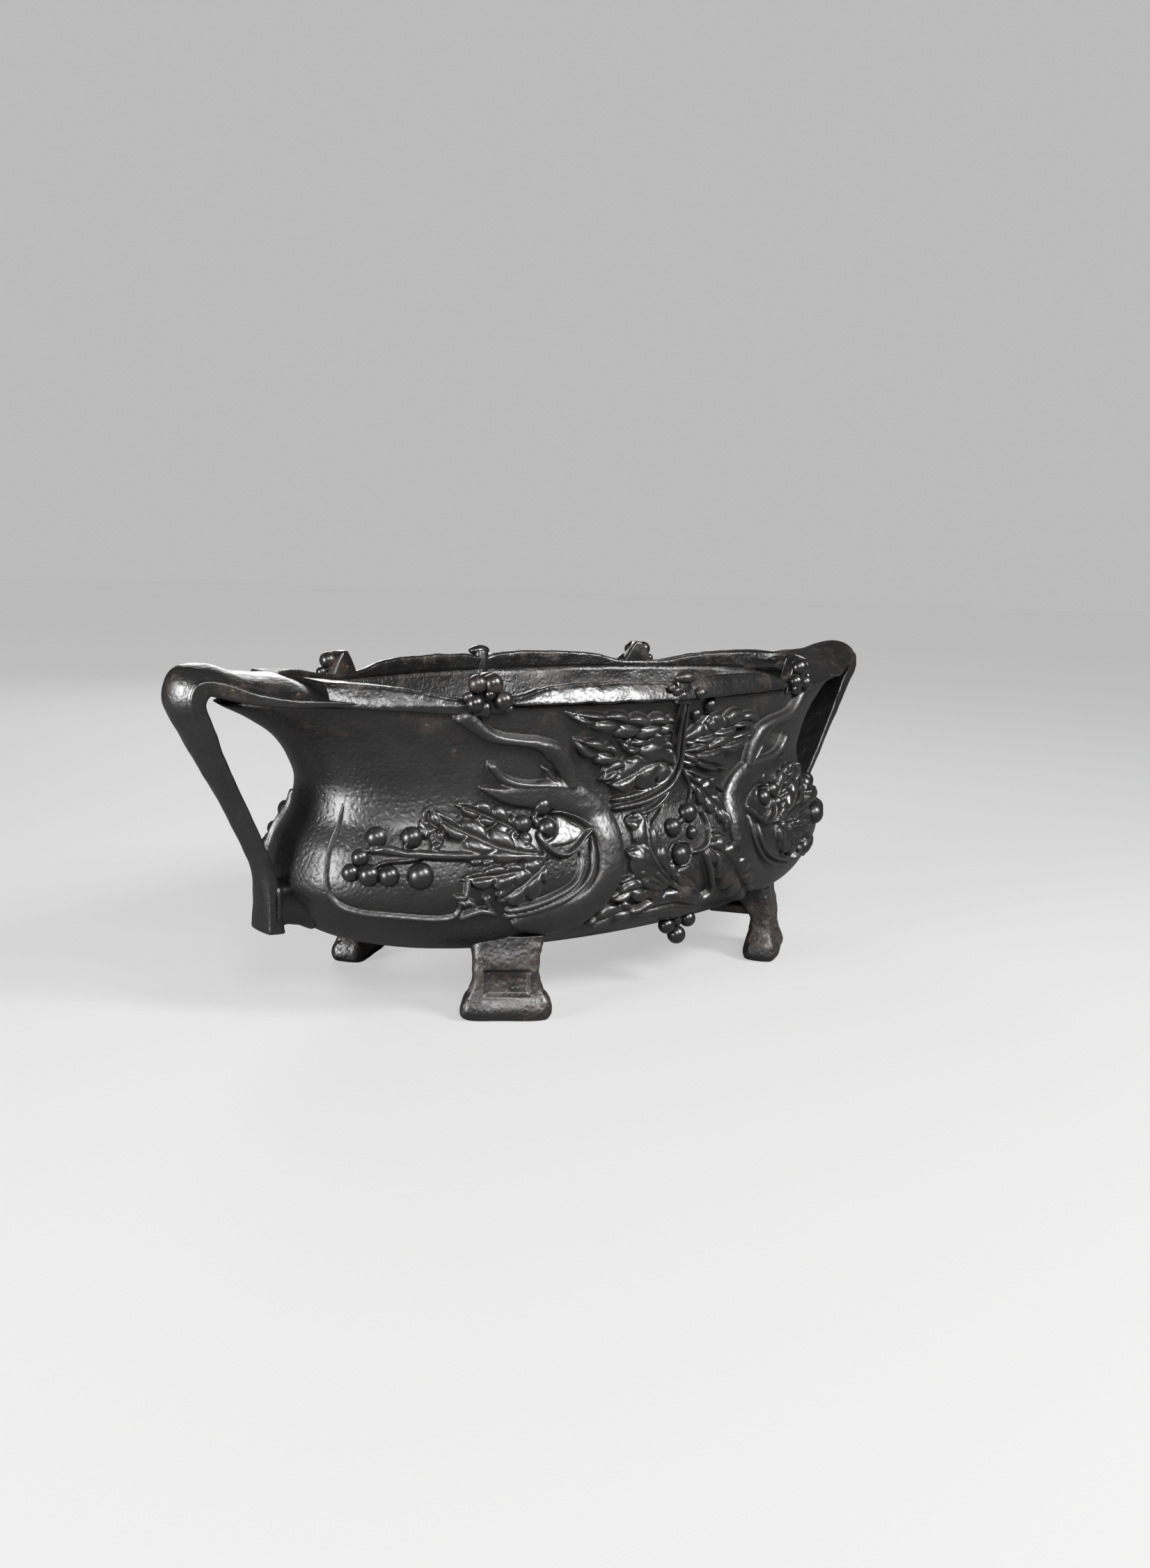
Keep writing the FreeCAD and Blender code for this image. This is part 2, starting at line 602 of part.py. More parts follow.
def make_rim_crest(rim_band):
    """The stalk's knob where it crosses the rim."""
    base = Vector(0, -lip_width / 2, seat_level)
    middle = base + Vector(0, 0, rim_band_height + crest_rise - crest_width / 2)
    knob = Part.makeSphere(crest_width / 2, middle)
    slice_box = Part.makeBox(crest_width, crest_depth, 2 * rim_height,
                             base + Vector(-crest_width / 2, -crest_depth / 2, -seat_level))
    return knob.common(slice_box).cut([rim_band, bowl_skin])


def make_pendant_berries(holly):
    """Four berries that hang under the belly, below the holly."""
    place = Vector(0, -belly_width / 2 * pendant_out_share, pendant_level_share * rim_height)
    radius = berry_radius
    balls = [Part.makeSphere(radius * size, place + Vector(a * radius, b * radius, -c * radius))
             for a, b, c, size in pendant_shares]
    return balls[0].multiFuse(balls[1:]).cut(bowl_skin).cut(holly)


os.makedirs("parts", exist_ok=True)
save("bowl", make_bowl())
rim_band = make_rim_band()
handle = make_handle()
save("rim_band_front", rim_band)
save("rim_band_back", mirrored(rim_band, False, True))
save("handle_right", handle)
save("handle_left", mirrored(handle, True, False))
save("foot_screws", make_foot_screws())
save("handle_screws", make_handle_screws())
save("handle_dowels", make_handle_dowels())
quarters = {"foot": make_foot(), "cartouche_frame": make_cartouche_frame(), "holly_spray": make_holly_spray(),
            "rim_berries": make_rim_berries(rim_band)}
for name, shape in quarters.items():
    turned = name == "foot"
    for back in (False, True):
        for left in (False, True):
            place = ("_back" if back else "_front") + ("_left" if left else "_right")
            save(name + place, mirrored(shape, left, back != turned))
centre_holly = make_centre_holly()
halves = {"centre_holly": centre_holly, "rim_crest": make_rim_crest(rim_band),
          "pendant_berries": make_pendant_berries(centre_holly)}
for name, shape in halves.items():
    save(name + "_front", shape)
    save(name + "_back", mirrored(mirrored(shape, True, False), False, True))
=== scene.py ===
"""Cast iron planter: painted castings, holly in relief and a plain studio, around the construction model."""

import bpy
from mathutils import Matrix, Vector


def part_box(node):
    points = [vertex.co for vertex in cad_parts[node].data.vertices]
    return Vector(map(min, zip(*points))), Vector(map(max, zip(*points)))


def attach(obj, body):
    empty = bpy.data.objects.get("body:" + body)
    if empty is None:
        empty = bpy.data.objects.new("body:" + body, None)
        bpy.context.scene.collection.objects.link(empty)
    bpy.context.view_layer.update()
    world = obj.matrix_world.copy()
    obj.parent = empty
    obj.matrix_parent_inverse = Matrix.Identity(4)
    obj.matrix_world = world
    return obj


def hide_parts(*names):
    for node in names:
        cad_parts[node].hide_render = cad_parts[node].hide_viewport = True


bl_info = {
    "name": "Cast iron planter",
    "version": (1, 0, 0),
    "blender": (4, 5, 0),
    "location": "3D View > Sidebar > Planter",
    "description": "Dresses the planter's construction model in painted cast iron and sets up its studio",
    "category": "Object",
}

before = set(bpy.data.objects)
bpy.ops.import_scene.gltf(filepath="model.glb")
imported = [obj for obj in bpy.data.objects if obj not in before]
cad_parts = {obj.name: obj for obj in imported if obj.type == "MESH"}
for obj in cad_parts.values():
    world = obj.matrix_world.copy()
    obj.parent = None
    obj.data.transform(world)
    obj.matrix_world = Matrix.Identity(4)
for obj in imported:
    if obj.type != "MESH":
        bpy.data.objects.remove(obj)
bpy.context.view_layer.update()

import math

import bmesh
import bpy
import numpy as np
from mathutils import Matrix, Vector

bowl_low, bowl_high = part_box("bowl")
handle_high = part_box("handle_right")[1]

# Bowl, metres
underside_height = bowl_low.z
seat_height = bowl_high.z
rim_height = 0.175
belly_length = 0.388
belly_width = 2 * bowl_high.y
neck_length = 0.358
neck_width = 0.164
lip_length = 2 * bowl_high.x
lip_width = 0.184
mouth_length = 0.380
mouth_width = 0.172
wall = 0.005
floor_top = underside_height + 0.006
rim_band_height = rim_height - seat_height
handle_span = 2 * handle_high.x

# How the bowl's rows crowd towards its floor, and the round seats under the handles' screws inside it
row_crowding = 1.25
boss_from_head, boss_margin, boss_depth, boss_round = 0.030, 0.0012, 0.004, 0.0006

# Unevenness of the sand castings: how wide and how high each noise is, and its seed
core_noise = [(0.022, 0.0015, 0.0), (0.009, 0.0008, 2.0)]
band_noise = [(0.012, 0.0004, 1), (0.005, 0.0003, 2), (0.0022, 0.0001, 3)]
strap_noise = [(0.02, 0.0006, 1), (0.007, 0.0003, 2), (0.003, 0.0001, 3)]
torn_noise = [(0.006, 0.0035, 5), (0.002, 0.0012, 9)]
lug_noise = [(0.012, 0.0007, 1), (0.004, 0.0003, 2)]
foot_noise = [(0.011, 0.0008, 1), (0.004, 0.0005, 2), (0.002, 0.0002, 3)]
relief_noise = [(0.0035, 0.00012, 0.0), (0.0012, 0.0001, 3.1)]

# The bowl's outside: shares of the height from underside to rim, then weights of belly, neck and lip
body_shares = np.array([
    (0.0, 0.63, 0.0, 0.0), (0.034, 0.785, 0.0, 0.0), (0.097, 0.905, 0.0, 0.0),
    (0.186, 0.966, 0.0, 0.0), (0.29, 1.0, 0.0, 0.0), (0.414, 0.72, 0.28, 0.0),
    (0.524, 0.15, 0.85, 0.0), (0.62, 0.0, 1.0, 0.0), (0.71, 0.0, 0.91, 0.09),
    (0.793, 0.0, 0.74, 0.26), (0.869, 0.0, 0.44, 0.56), (0.938, 0.0, 0.106, 0.894),
    (1.0, 0.0, 0.0, 1.0),
])
belly_power, neck_power = 2.2, 2.1
lip_power_x, lip_power_y = 1.53, 1.45
mouth_power_x, mouth_power_y = 1.7, 1.9
girth_share = 0.36

# The rim's waved top: shares of half the mouth's length and of the band's height
rim_wave_shares = np.array([
    (0.0, 0.72), (0.08, 1.0), (0.21, 1.05), (0.32, 1.0), (0.44, 0.85), (0.56, 0.38),
    (0.67, 0.36), (0.79, 0.75), (0.88, 1.0), (1.0, 1.15),
])

# The band's face stands proud in the middle up to a way before the clusters of berries, and again past them
band_proud_before, band_proud_after, band_proud_fade = 0.009, 0.002, 0.004
band_dip_fade = 0.006
band_fullness = 1.3
band_round, band_bulge, band_crown = 0.0016, 0.0005, 0.0003
band_tuck = (0.0012, 0.0003)

# The handle from hood to lower end: how far along, then shares of half the span, of the rim's height and of a
# right angle for the place and lean of the inner face, then of the strap's width and of its thickness at
# side and crown
strap_rows = np.array([
    (0.0, 0.741, 0.941, 1.0, 1.76, 0.50, 1.20),
    (0.09, 0.806, 0.938, 1.0, 1.40, 0.62, 1.28),
    (0.17, 0.866, 0.945, 0.97, 1.03, 0.85, 1.12),
    (0.23, 0.910, 0.962, 0.85, 0.78, 1.10, 1.00),
    (0.29, 0.935, 0.970, 0.50, 0.62, 1.25, 0.90),
    (0.34, 0.943, 0.947, 0.09, 0.56, 1.13, 0.80),
    (0.40, 0.929, 0.896, -0.18, 0.50, 1.05, 0.56),
    (0.50, 0.898, 0.787, -0.28, 0.47, 0.83, 0.45),
    (0.63, 0.856, 0.656, -0.29, 0.43, 0.59, 0.40),
    (0.76, 0.813, 0.526, -0.24, 0.38, 0.56, 0.35),
    (0.85, 0.788, 0.440, -0.13, 0.35, 0.72, 0.24),
    (0.93, 0.775, 0.354, 0.0, 0.36, 1.05, 0.16),
    (1.0, 0.771, 0.269, 0.04, 0.41, 1.25, 0.13),
])
strap_edge = 0.0016
strap_clearance = 0.0002

# The strap's closing rings at its lower end: how far each is drawn in and how far it lies below
strap_end_rings = np.array([(0.985, 0.0005), (0.93, 0.0010), (0.80, 0.0014)])

# The hood's torn start: how many rings it takes, how far it and its corners reach over the band, where a
# corner begins and how wide it is, and how much the start spreads and thins
torn_rings = 9
hood_reach, hood_corner = 0.003, 0.007
hood_corner_start, hood_corner_width = 0.010, 0.012
hood_spread, hood_thinning = 0.07, 0.35

# The lug's arm from the strap to the belly
lug_start, lug_width, lug_height, lug_middle = 0.180, 0.020, 0.0235, 0.0605
lug_power, lug_flare, lug_waist, lug_depth_share = 3.2, 0.9, 0.35, 0.6

# A foot from the floor up: shares of its height, of half its width and of half its depth, and how far it is
# set back as a share of half its depth
foot_shares = np.array([
    (0.0, 0.94, 0.72, 0.0), (0.09, 1.0, 0.78, 0.0), (0.22, 0.95, 0.72, 0.0), (0.36, 0.80, 0.62, 0.0),
    (0.52, 0.72, 0.56, 0.0), (0.70, 0.73, 0.70, 0.22), (1.0, 0.86, 1.05, 0.82),
])

# The feet's places and sizes, their sunk panels, toes and soles, the blocks behind their tops, and how far
# they reach into the bowl's wall
foot_power = 5.0
foot_spacing = (0.202, 0.140)
foot_size = (0.048, 0.026, 0.044)
panel_size = (0.024, 0.014)
panel_bottom = 0.013
panel_depth, panel_edge = 0.0024, 0.0012
toe_height = 0.012
toe_roll = 0.0012
sole_levels, sole_round = (0, 0.006, 0.02), 0.05
seat_width, seat_bottom, seat_reach, seat_sink, seat_round = 0.022, 0.0255, 0.020, 0.002, 0.002
foot_sink, foot_limit = 0.0025, 0.075

# Relief on the right front quarter: shares of half the girth from the front's middle, and of the rim's height
frame_band_shares = [
    (0.55, 0.70), (0.50, 0.678), (0.44, 0.672), (0.38, 0.67), (0.32, 0.655), (0.268, 0.617), (0.233, 0.57),
    (0.217, 0.52), (0.215, 0.46), (0.226, 0.41), (0.255, 0.36), (0.31, 0.32), (0.38, 0.303), (0.46, 0.30),
]
frame_band_widths = (
    0.0065, 0.012, 0.0155, 0.0175, 0.0185, 0.0185, 0.018, 0.0175, 0.0175, 0.0185, 0.0185, 0.015)
frame_band_height, frame_band_flatness = 0.0038, 2.8
frame_ridge_shares = [
    [(0.267, 0.535), (0.266, 0.46), (0.286, 0.41), (0.33, 0.372), (0.40, 0.345), (0.485, 0.328)],
    [(0.297, 0.50), (0.294, 0.455), (0.313, 0.41), (0.36, 0.38), (0.42, 0.358), (0.48, 0.348)],
]
frame_ridge_width, frame_ridge_height = 0.0040, 0.0028
ear_line_shares = [
    (0.556, 0.925), (0.543, 0.898), (0.524, 0.868), (0.50, 0.848), (0.45, 0.836), (0.41, 0.825),
    (0.37, 0.795), (0.345, 0.755), (0.328, 0.71), (0.322, 0.68),
]
ear_line_widths = (0.012, 0.010, 0.0085, 0.007, 0.007, 0.0085, 0.012, 0.012, 0.010, 0.008)
ear_line_height, ear_line_taper = 0.0044, 0.03
inner_ear_shares = [
    (0.525, 0.775), (0.513, 0.75), (0.50, 0.728), (0.475, 0.711), (0.44, 0.703), (0.38, 0.698), (0.33, 0.69),
]
inner_ear_widths, inner_ear_height, inner_ear_taper = (0.0064, 0.0060, 0.0046, 0.0036), 0.0036, 0.05
ear_tick_shares = [(0.398, 0.755), (0.385, 0.74), (0.372, 0.718), (0.35, 0.70)]
ear_tick_widths, ear_tick_height = (0.0026, 0.0040, 0.0030), 0.0026
end_line_shares = [
    (0.868, 0.645), (0.871, 0.56), (0.868, 0.48), (0.86, 0.42), (0.84, 0.375), (0.80, 0.353), (0.72, 0.343),
    (0.64, 0.333), (0.60, 0.338), (0.582, 0.358), (0.578, 0.385),
]
end_line_width, end_line_height = 0.0028, 0.0020
frame_knot_shares = [
    [(0.50, 0.34), (0.53, 0.355), (0.555, 0.35), (0.59, 0.335)],
    [(0.515, 0.365), (0.522, 0.39), (0.512, 0.40)],
    [(0.59, 0.402), (0.568, 0.40), (0.562, 0.42), (0.563, 0.452)],
    [(0.545, 0.37), (0.56, 0.385), (0.575, 0.378)],
]
heart_shares = [
    [(0.378, 0.618), (0.345, 0.612), (0.305, 0.59), (0.262, 0.556)],
    [(0.262, 0.556), (0.285, 0.537), (0.308, 0.512), (0.33, 0.496), (0.355, 0.498), (0.385, 0.522),
      (0.408, 0.565)],
]
heart_width, heart_height, heart_taper = 0.0038, 0.0038, 0.04
heart_plate_shares = [(0.40, 0.585), (0.36, 0.565), (0.32, 0.553), (0.285, 0.555)]
heart_plate_widths, heart_plate_height, heart_plate_flatness = (0.016, 0.017, 0.011, 0.004), 0.0008, 5.0
spray_leaves = [
    ([(0.452, 0.562), (0.49, 0.588), (0.53, 0.613), (0.57, 0.635), (0.612, 0.656)], 0.0061, 0.0054, 4,
     0.0038),
    ([(0.40, 0.497), (0.45, 0.512), (0.51, 0.532), (0.57, 0.563), (0.62, 0.592), (0.662, 0.64)], 0.0067,
     0.0058, 4, 0.0042),
    ([(0.64, 0.582), (0.662, 0.60), (0.668, 0.622), (0.664, 0.648)], 0.0046, 0.0059, 1, 0.0034),
    ([(0.43, 0.462), (0.49, 0.456), (0.53, 0.453), (0.58, 0.451)], 0.0044, 0.0061, 3, 0.0036),
    ([(0.385, 0.475), (0.415, 0.445), (0.45, 0.415), (0.50, 0.385)], 0.0074, 0.0079, 3, 0.0032),
    ([(0.625, 0.545), (0.64, 0.553), (0.652, 0.57)], 0.0038, 0.0044, 1, 0.0036),
    ([(0.49, 0.50), (0.53, 0.502), (0.575, 0.50)], 0.0031, 0.0033, 3, 0.0029),
]
spray_stems = [
    ([(0.375, 0.492), (0.44, 0.50), (0.52, 0.508), (0.60, 0.512), (0.70, 0.520), (0.755, 0.530),
     (0.80, 0.525)], 0.0036, 0.0030),
    ([(0.43, 0.507), (0.455, 0.53), (0.478, 0.562)], 0.0022, 0.0026),
    ([(0.39, 0.51), (0.395, 0.48)], 0.0030, 0.0026),
    ([(0.70, 0.52), (0.705, 0.535), (0.70, 0.55)], 0.0024, 0.0024),
    ([(0.66, 0.505), (0.70, 0.502), (0.74, 0.495), (0.775, 0.475)], 0.0022, 0.0024),
    ([(0.40, 0.575), (0.42, 0.60), (0.40, 0.63)], 0.0030, 0.0022),
    ([(0.437, 0.50), (0.437, 0.55)], 0.0024, 0.0022),
]
spray_berries = [
    (0.382, 0.572, 1.0), (0.445, 0.588, 0.95), (0.397, 0.637, 1.0), (0.436, 0.548, 0.72),
    (0.773, 0.561, 1.08), (0.697, 0.562, 1.08), (0.797, 0.508, 0.85), (0.812, 0.466, 0.85),
    (0.772, 0.462, 1.04), (0.730, 0.462, 1.0), (0.664, 0.462, 1.25),
]

# Relief on the front's middle, measured the same way, where left is negative
stalk_lines = [
    ([(-0.20, 0.637), (-0.15, 0.641), (-0.10, 0.651), (-0.05, 0.668), (-0.015, 0.692), (0.008, 0.73),
     (0.015, 0.78), (0.012, 0.84), (0.008, 0.90), (0.005, 0.94)], 0.0042, 0.0036),
    ([(-0.20, 0.61), (-0.15, 0.614), (-0.10, 0.621), (-0.05, 0.637), (0.0, 0.665), (0.028, 0.705),
     (0.036, 0.76), (0.034, 0.83), (0.029, 0.89), (0.028, 0.94)], 0.0042, 0.0036),
]
centre_twigs = [
    ([(0.032, 0.735), (0.06, 0.69), (0.078, 0.65), (0.072, 0.61), (0.06, 0.58)], 0.0026, 0.0026),
    ([(0.10, 0.565), (0.103, 0.52), (0.088, 0.473), (0.062, 0.455), (0.03, 0.453)], 0.0030, 0.0030),
    ([(0.065, 0.455), (0.088, 0.40), (0.107, 0.355), (0.12, 0.325), (0.113, 0.298), (0.07, 0.288),
     (0.01, 0.305)], 0.0042, 0.0034),
    ([(-0.14, 0.583), (-0.09, 0.588), (-0.05, 0.606), (-0.015, 0.635), (0.01, 0.67)], 0.0030, 0.0026),
    ([(-0.10, 0.515), (-0.085, 0.548), (-0.055, 0.575), (-0.03, 0.61)], 0.0026, 0.0026),
    ([(-0.115, 0.50), (-0.108, 0.455), (-0.085, 0.415), (-0.05, 0.378), (-0.01, 0.348), (0.03, 0.325)],
     0.0030, 0.0030),
    ([(-0.165, 0.805), (-0.155, 0.79), (-0.135, 0.785), (-0.09, 0.79)], 0.0024, 0.0024),
    ([(0.036, 0.80), (0.07, 0.835), (0.11, 0.86), (0.145, 0.885)], 0.0024, 0.0024),
    ([(0.0, 0.49), (0.028, 0.482), (0.03, 0.453), (0.022, 0.425), (-0.005, 0.415), (-0.032, 0.428),
     (-0.038, 0.455), (-0.03, 0.482), (0.0, 0.49)], 0.0016, 0.0026),
    ([(-0.02, 0.535), (0.05, 0.56)], 0.0030, 0.0020),
    ([(0.17, 0.655), (0.205, 0.63), (0.235, 0.598)], 0.0030, 0.0016),
]
centre_leaves = [
    ([(-0.02, 0.868), (-0.09, 0.87), (-0.16, 0.868), (-0.24, 0.888), (-0.30, 0.898), (-0.36, 0.918)], 0.0067,
     0.0051, 5, 0.0046),
    ([(-0.02, 0.835), (-0.08, 0.842), (-0.13, 0.845)], 0.0036, 0.0038, 1, 0.0036),
    ([(-0.20, 0.775), (-0.24, 0.79), (-0.28, 0.803), (-0.325, 0.838)], 0.0059, 0.0054, 2, 0.0044),
    ([(0.0, 0.775), (-0.05, 0.79), (-0.10, 0.80), (-0.15, 0.80), (-0.20, 0.825)], 0.0056, 0.0051, 3, 0.0036),
    ([(0.005, 0.72), (-0.05, 0.745), (-0.10, 0.735), (-0.15, 0.71), (-0.215, 0.688)], 0.0115, 0.0096, 3,
     0.0044),
    ([(-0.14, 0.745), (-0.18, 0.735), (-0.215, 0.725), (-0.245, 0.70)], 0.0051, 0.0049, 2, 0.0038),
    ([(0.045, 0.80), (0.12, 0.815), (0.20, 0.832), (0.28, 0.85), (0.36, 0.845)], 0.0082, 0.0044, 4, 0.0044),
    ([(0.045, 0.765), (0.12, 0.762), (0.18, 0.772), (0.26, 0.79), (0.345, 0.815)], 0.0056, 0.0072, 3,
     0.0046),
    ([(0.045, 0.74), (0.10, 0.735), (0.17, 0.715), (0.235, 0.69)], 0.0033, 0.0044, 2, 0.0036),
    ([(0.06, 0.705), (0.10, 0.675), (0.145, 0.663), (0.19, 0.672)], 0.0038, 0.0033, 1, 0.0038),
    ([(0.085, 0.665), (0.12, 0.63), (0.15, 0.59), (0.168, 0.545), (0.172, 0.495)], 0.0087, 0.0064, 4,
     0.0036),
    ([(-0.03, 0.375), (-0.072, 0.425), (-0.098, 0.475), (-0.105, 0.53), (-0.10, 0.585)], 0.0134, 0.0079, 3,
     0.0036),
    ([(-0.12, 0.545), (-0.135, 0.565), (-0.165, 0.572)], 0.0051, 0.0044, 1, 0.0036),
    ([(-0.10, 0.455), (-0.135, 0.475), (-0.175, 0.485)], 0.0054, 0.0046, 1, 0.0036),
    ([(-0.06, 0.372), (-0.10, 0.396), (-0.15, 0.418)], 0.0051, 0.0046, 1, 0.0042),
    ([(-0.04, 0.352), (-0.10, 0.362), (-0.155, 0.372), (-0.22, 0.348)], 0.0061, 0.0056, 3, 0.0040),
    ([(-0.10, 0.405), (-0.15, 0.40), (-0.195, 0.395)], 0.0038, 0.0041, 1, 0.0034),
    ([(0.10, 0.278), (0.04, 0.287), (-0.03, 0.30), (-0.09, 0.30), (-0.155, 0.285)], 0.0079, 0.0074, 1,
     0.0044),
    ([(-0.14, 0.305), (-0.19, 0.30), (-0.235, 0.285), (-0.275, 0.268)], 0.0059, 0.0054, 2, 0.0036),
    ([(0.085, 0.46), (0.13, 0.43), (0.175, 0.385), (0.215, 0.34), (0.26, 0.298), (0.315, 0.255)], 0.0102,
     0.0100, 5, 0.0044),
    ([(0.09, 0.50), (0.12, 0.492), (0.155, 0.48)], 0.0038, 0.0044, 1, 0.0036),
    ([(-0.01, 0.395), (0.03, 0.37), (0.07, 0.33)], 0.0067, 0.0061, 1, 0.0019),
]
centre_berries = [
    (0.055, 0.57, 1.1), (-0.015, 0.535, 1.0), (0.047, 0.512, 0.72), (-0.005, 0.452, 1.1),
    (0.148, 0.912, 0.85), (0.142, 0.853, 0.7), (0.19, 0.853, 0.62), (-0.168, 0.815, 0.62),
    (0.09, 0.885, 0.7),
]

# A cluster of berries on the rim: shares of the berry's radius along the rim, outwards and up, and its size
rim_cluster_shares = [
    (-1.25, 0.8, -1.35, 0.9), (-1.75, 0.9, -2.1, 0.42), (1.5, 0.8, -1.6, 0.86), (-0.2, 0.7, 0.15, 0.98),
    (1.2, 0.6, 0.15, 0.9), (2.1, 0.7, -1.0, 0.55), (0.1, 0.9, -0.75, 0.5),
]
rim_cluster_share = 0.492
rim_tab_shares = [
    (-2.3, -2.6), (2.3, -2.6), (1.75, -0.9), (1.1, 0.25), (0.45, 1.1), (-0.35, 1.2), (-0.95, 0.4),
    (-1.6, -0.7),
]
rim_tab_depth_share = 0.9
rim_tab_inward, rim_tab_round = 0.0045, 0.0014
crest_width = 0.015
crest_rise = 0.005
pendant_shares = [
    (0.0, 0.0, 0.9, 0.86), (2.9, -0.1, 0.6, 0.86), (1.5, 0.2, 0.6, 0.7), (1.5, 0.0, 2.1, 0.95),
]
pendant_root_share = (1.5, 0.3, -1.6)
pendant_twig_radius = 0.0016
pendant_level_share = 0.238
pendant_out_share = 0.905

# Buds beside the stalk's knob, from the middle of its top: right, back, up and radius
knob_buds = [
    (-0.009, -0.0025, -0.0105, 0.0028), (-0.0125, -0.003, -0.0085, 0.0022),
    (0.0085, -0.0035, -0.0125, 0.0036), (-0.005, -0.0032, -0.013, 0.0030),
]

# The stalk's knob: how its cap and neck are squeezed, how far their middles lie under its top, how far the
# neck stands in from the lip, and its rounding
knob_cap_squeeze, knob_neck_squeeze = (0.66, 0.46), 0.9
knob_cap_drop, knob_neck_drop, knob_neck_inward = 0.0036, 0.0105, 0.002
knob_neck_radii, knob_neck_length, knob_round = (0.0064, 0.0046), 0.015, 0.001

# The relief's patches: where each starts and ends, as the shares above
frame_patch = ((0.17, 0.25), (0.90, 0.945))
spray_patch = ((0.24, 0.34), (0.87, 0.69))
holly_patch = ((-0.38, 0.235), (0.38, 0.942))

# How the relief's flanks and creases are cut, and the fineness of the meshes
relief_step = 0.00066
relief_sink = 0.0010
relief_back = 0.0022
flank_slope = 2.8
soft_width = 0.0004
groove_width, moat_width, moat_depth = 0.0008, 0.0009, 0.0012
around_points = 320

# How stems stand against their drawing, how a line draws in at its ends, and how a leaf is shaped: the
# fullness of its outline, how its lobes lean, alternate and swell, and the depth of its seams and midrib
spray_stem_width, spray_stem_boldness = 1.5, 1.2
centre_stem_width, centre_stem_taper = 1.2, 0.05
end_taper, end_width_share, end_height_share = 0.12, 0.35, 0.5
leaf_root, leaf_fullness, leaf_least, leaf_margin = 0.75, 0.6, 0.05, 1.4
lobe_shift, lobe_lean, lobe_stagger, lobe_power = 0.2, 0.32, 0.4, 2.2
lobe_valley, lobe_swell, lobe_height_share = 0.70, 0.42, 0.4
seam_width, seam_depth, midrib_depth = 0.11, 0.32, 0.26
leaf_low, leaf_dome = 0.36, 0.64

# Colours under and on the paint
dust_colour = (0.055, 0.050, 0.044, 1)
rust_dark, rust_bright = (0.030, 0.019, 0.014, 1), (0.10, 0.046, 0.026, 1)
screw_paint = (0.05, 0.048, 0.046)

# The grain under the paint: how fine its pebbles, swellings, specks and pits are, in cells to a metre, and
# how high they stand
pebble_scale, pebble_height = 700.0, 0.5
swell_scale, swell_height = 160.0, 0.9
speck_scale, speck_height = 2600.0, 0.12
pit_scale, pit_walls = 420.0, (0.12, 0.5)

# The rust: how fine its patches and specks are, where they begin and are whole, how much a level and the
# amount bring it on, and how strong it is between its specks
rust_patch_scale, rust_patch_range = 55.0, (0.69, 0.84)
rust_speck_scale, rust_speck_range = 420.0, (0.60, 0.72)
rust_near_level, rust_by_amount, rust_thin = 0.20, 0.3, 0.45

# The paint: how dark it is where it lies thick and how pale where it is worn, the heights over which crests
# wear and creases gather dust, how much of each shows, and how they change its roughness
thick_paint, worn_paint = 0.55, 2.4
worn_heights, dusty_heights = (0.0001, 0.0009), (0.0001, 0.0012)
wear_share, dust_share = 0.55, 0.35
cloud_scale, cloud_range = 38.0, (0.35, 0.75)
cloud_roughness, dust_roughness, rust_roughness = 0.16, 0.12, 0.35
paint_specular, coat_weight, coat_roughness = 0.55, 0.15, 0.2

# The studio: each lamp's place, size and watts, the place that they face, the floor's radius, how much
# paler the air behind looks, and the height of the camera's frame in millimetres
lamps = {
    "key_lamp": ((0.38, -1.05, 1.0), (0.45, 0.45), 33.0),
    "side_lamp": ((-1.35, -0.05, 0.35), (0.35, 0.5), 25.0),
    "back_lamp": ((0.5, 1.3, 0.7), (0.6, 0.5), 6.0),
    "fill_lamp": ((-0.75, -1.25, 1.05), (0.55, 0.45), 25.0),
}
lamp_target = (0.0, 0.0, 0.08)
floor_radius = 6.0
air_over_floor = 0.03
frame_height = 36

half_span = handle_span / 2
hood_start = mouth_length / 2


def curve(rows, column, at):
    """Monotone curve through one column of a table, read at shares along its first column."""
    xs, ys = rows[:, 0], rows[:, column]
    steps = np.diff(xs)
    slopes = np.diff(ys) / steps
    tangents = np.zeros_like(ys)
    before, after = slopes[:-1], slopes[1:]
    left = 2 * steps[1:] + steps[:-1]
    right = steps[1:] + 2 * steps[:-1]
    steady = before * after > 0
    tangents[1:-1][steady] = ((left + right) / (left / np.where(steady, before, 1)
                              + right / np.where(steady, after, 1)))[steady]
    tangents[0], tangents[-1] = slopes[0], slopes[-1]
    at = np.clip(at, xs[0], xs[-1])
    k = np.clip(np.searchsorted(xs, at, side="right") - 1, 0, len(steps) - 1)
    h = steps[k]
    t = (at - xs[k]) / h
    return ((1 + 2 * t) * (1 - t) ** 2 * ys[k] + t * (1 - t) ** 2 * h * tangents[k]
            + t * t * (3 - 2 * t) * ys[k + 1] + t * t * (t - 1) * h * tangents[k + 1])


class Sizes:
    """The shape settings as they were typed, without the rounding of Blender's stored values."""

    def __getattr__(self, name):
        return round(getattr(bpy.context.scene.planter_shape, name), 6)


sizes = Sizes()


def signed_power(value, power):
    """A power that keeps the value's sign."""
    return np.sign(value) * np.abs(value) ** power


def ring(half_x, half_y, power_x, power_y, turn, z):
    """Points of an oval whose ends and sides are as full as the powers say."""
    x = half_x * signed_power(np.cos(turn), 2 / power_x)
    y = half_y * signed_power(np.sin(turn), 2 / power_y)
    return np.stack(np.broadcast_arrays(x, y, z), -1)


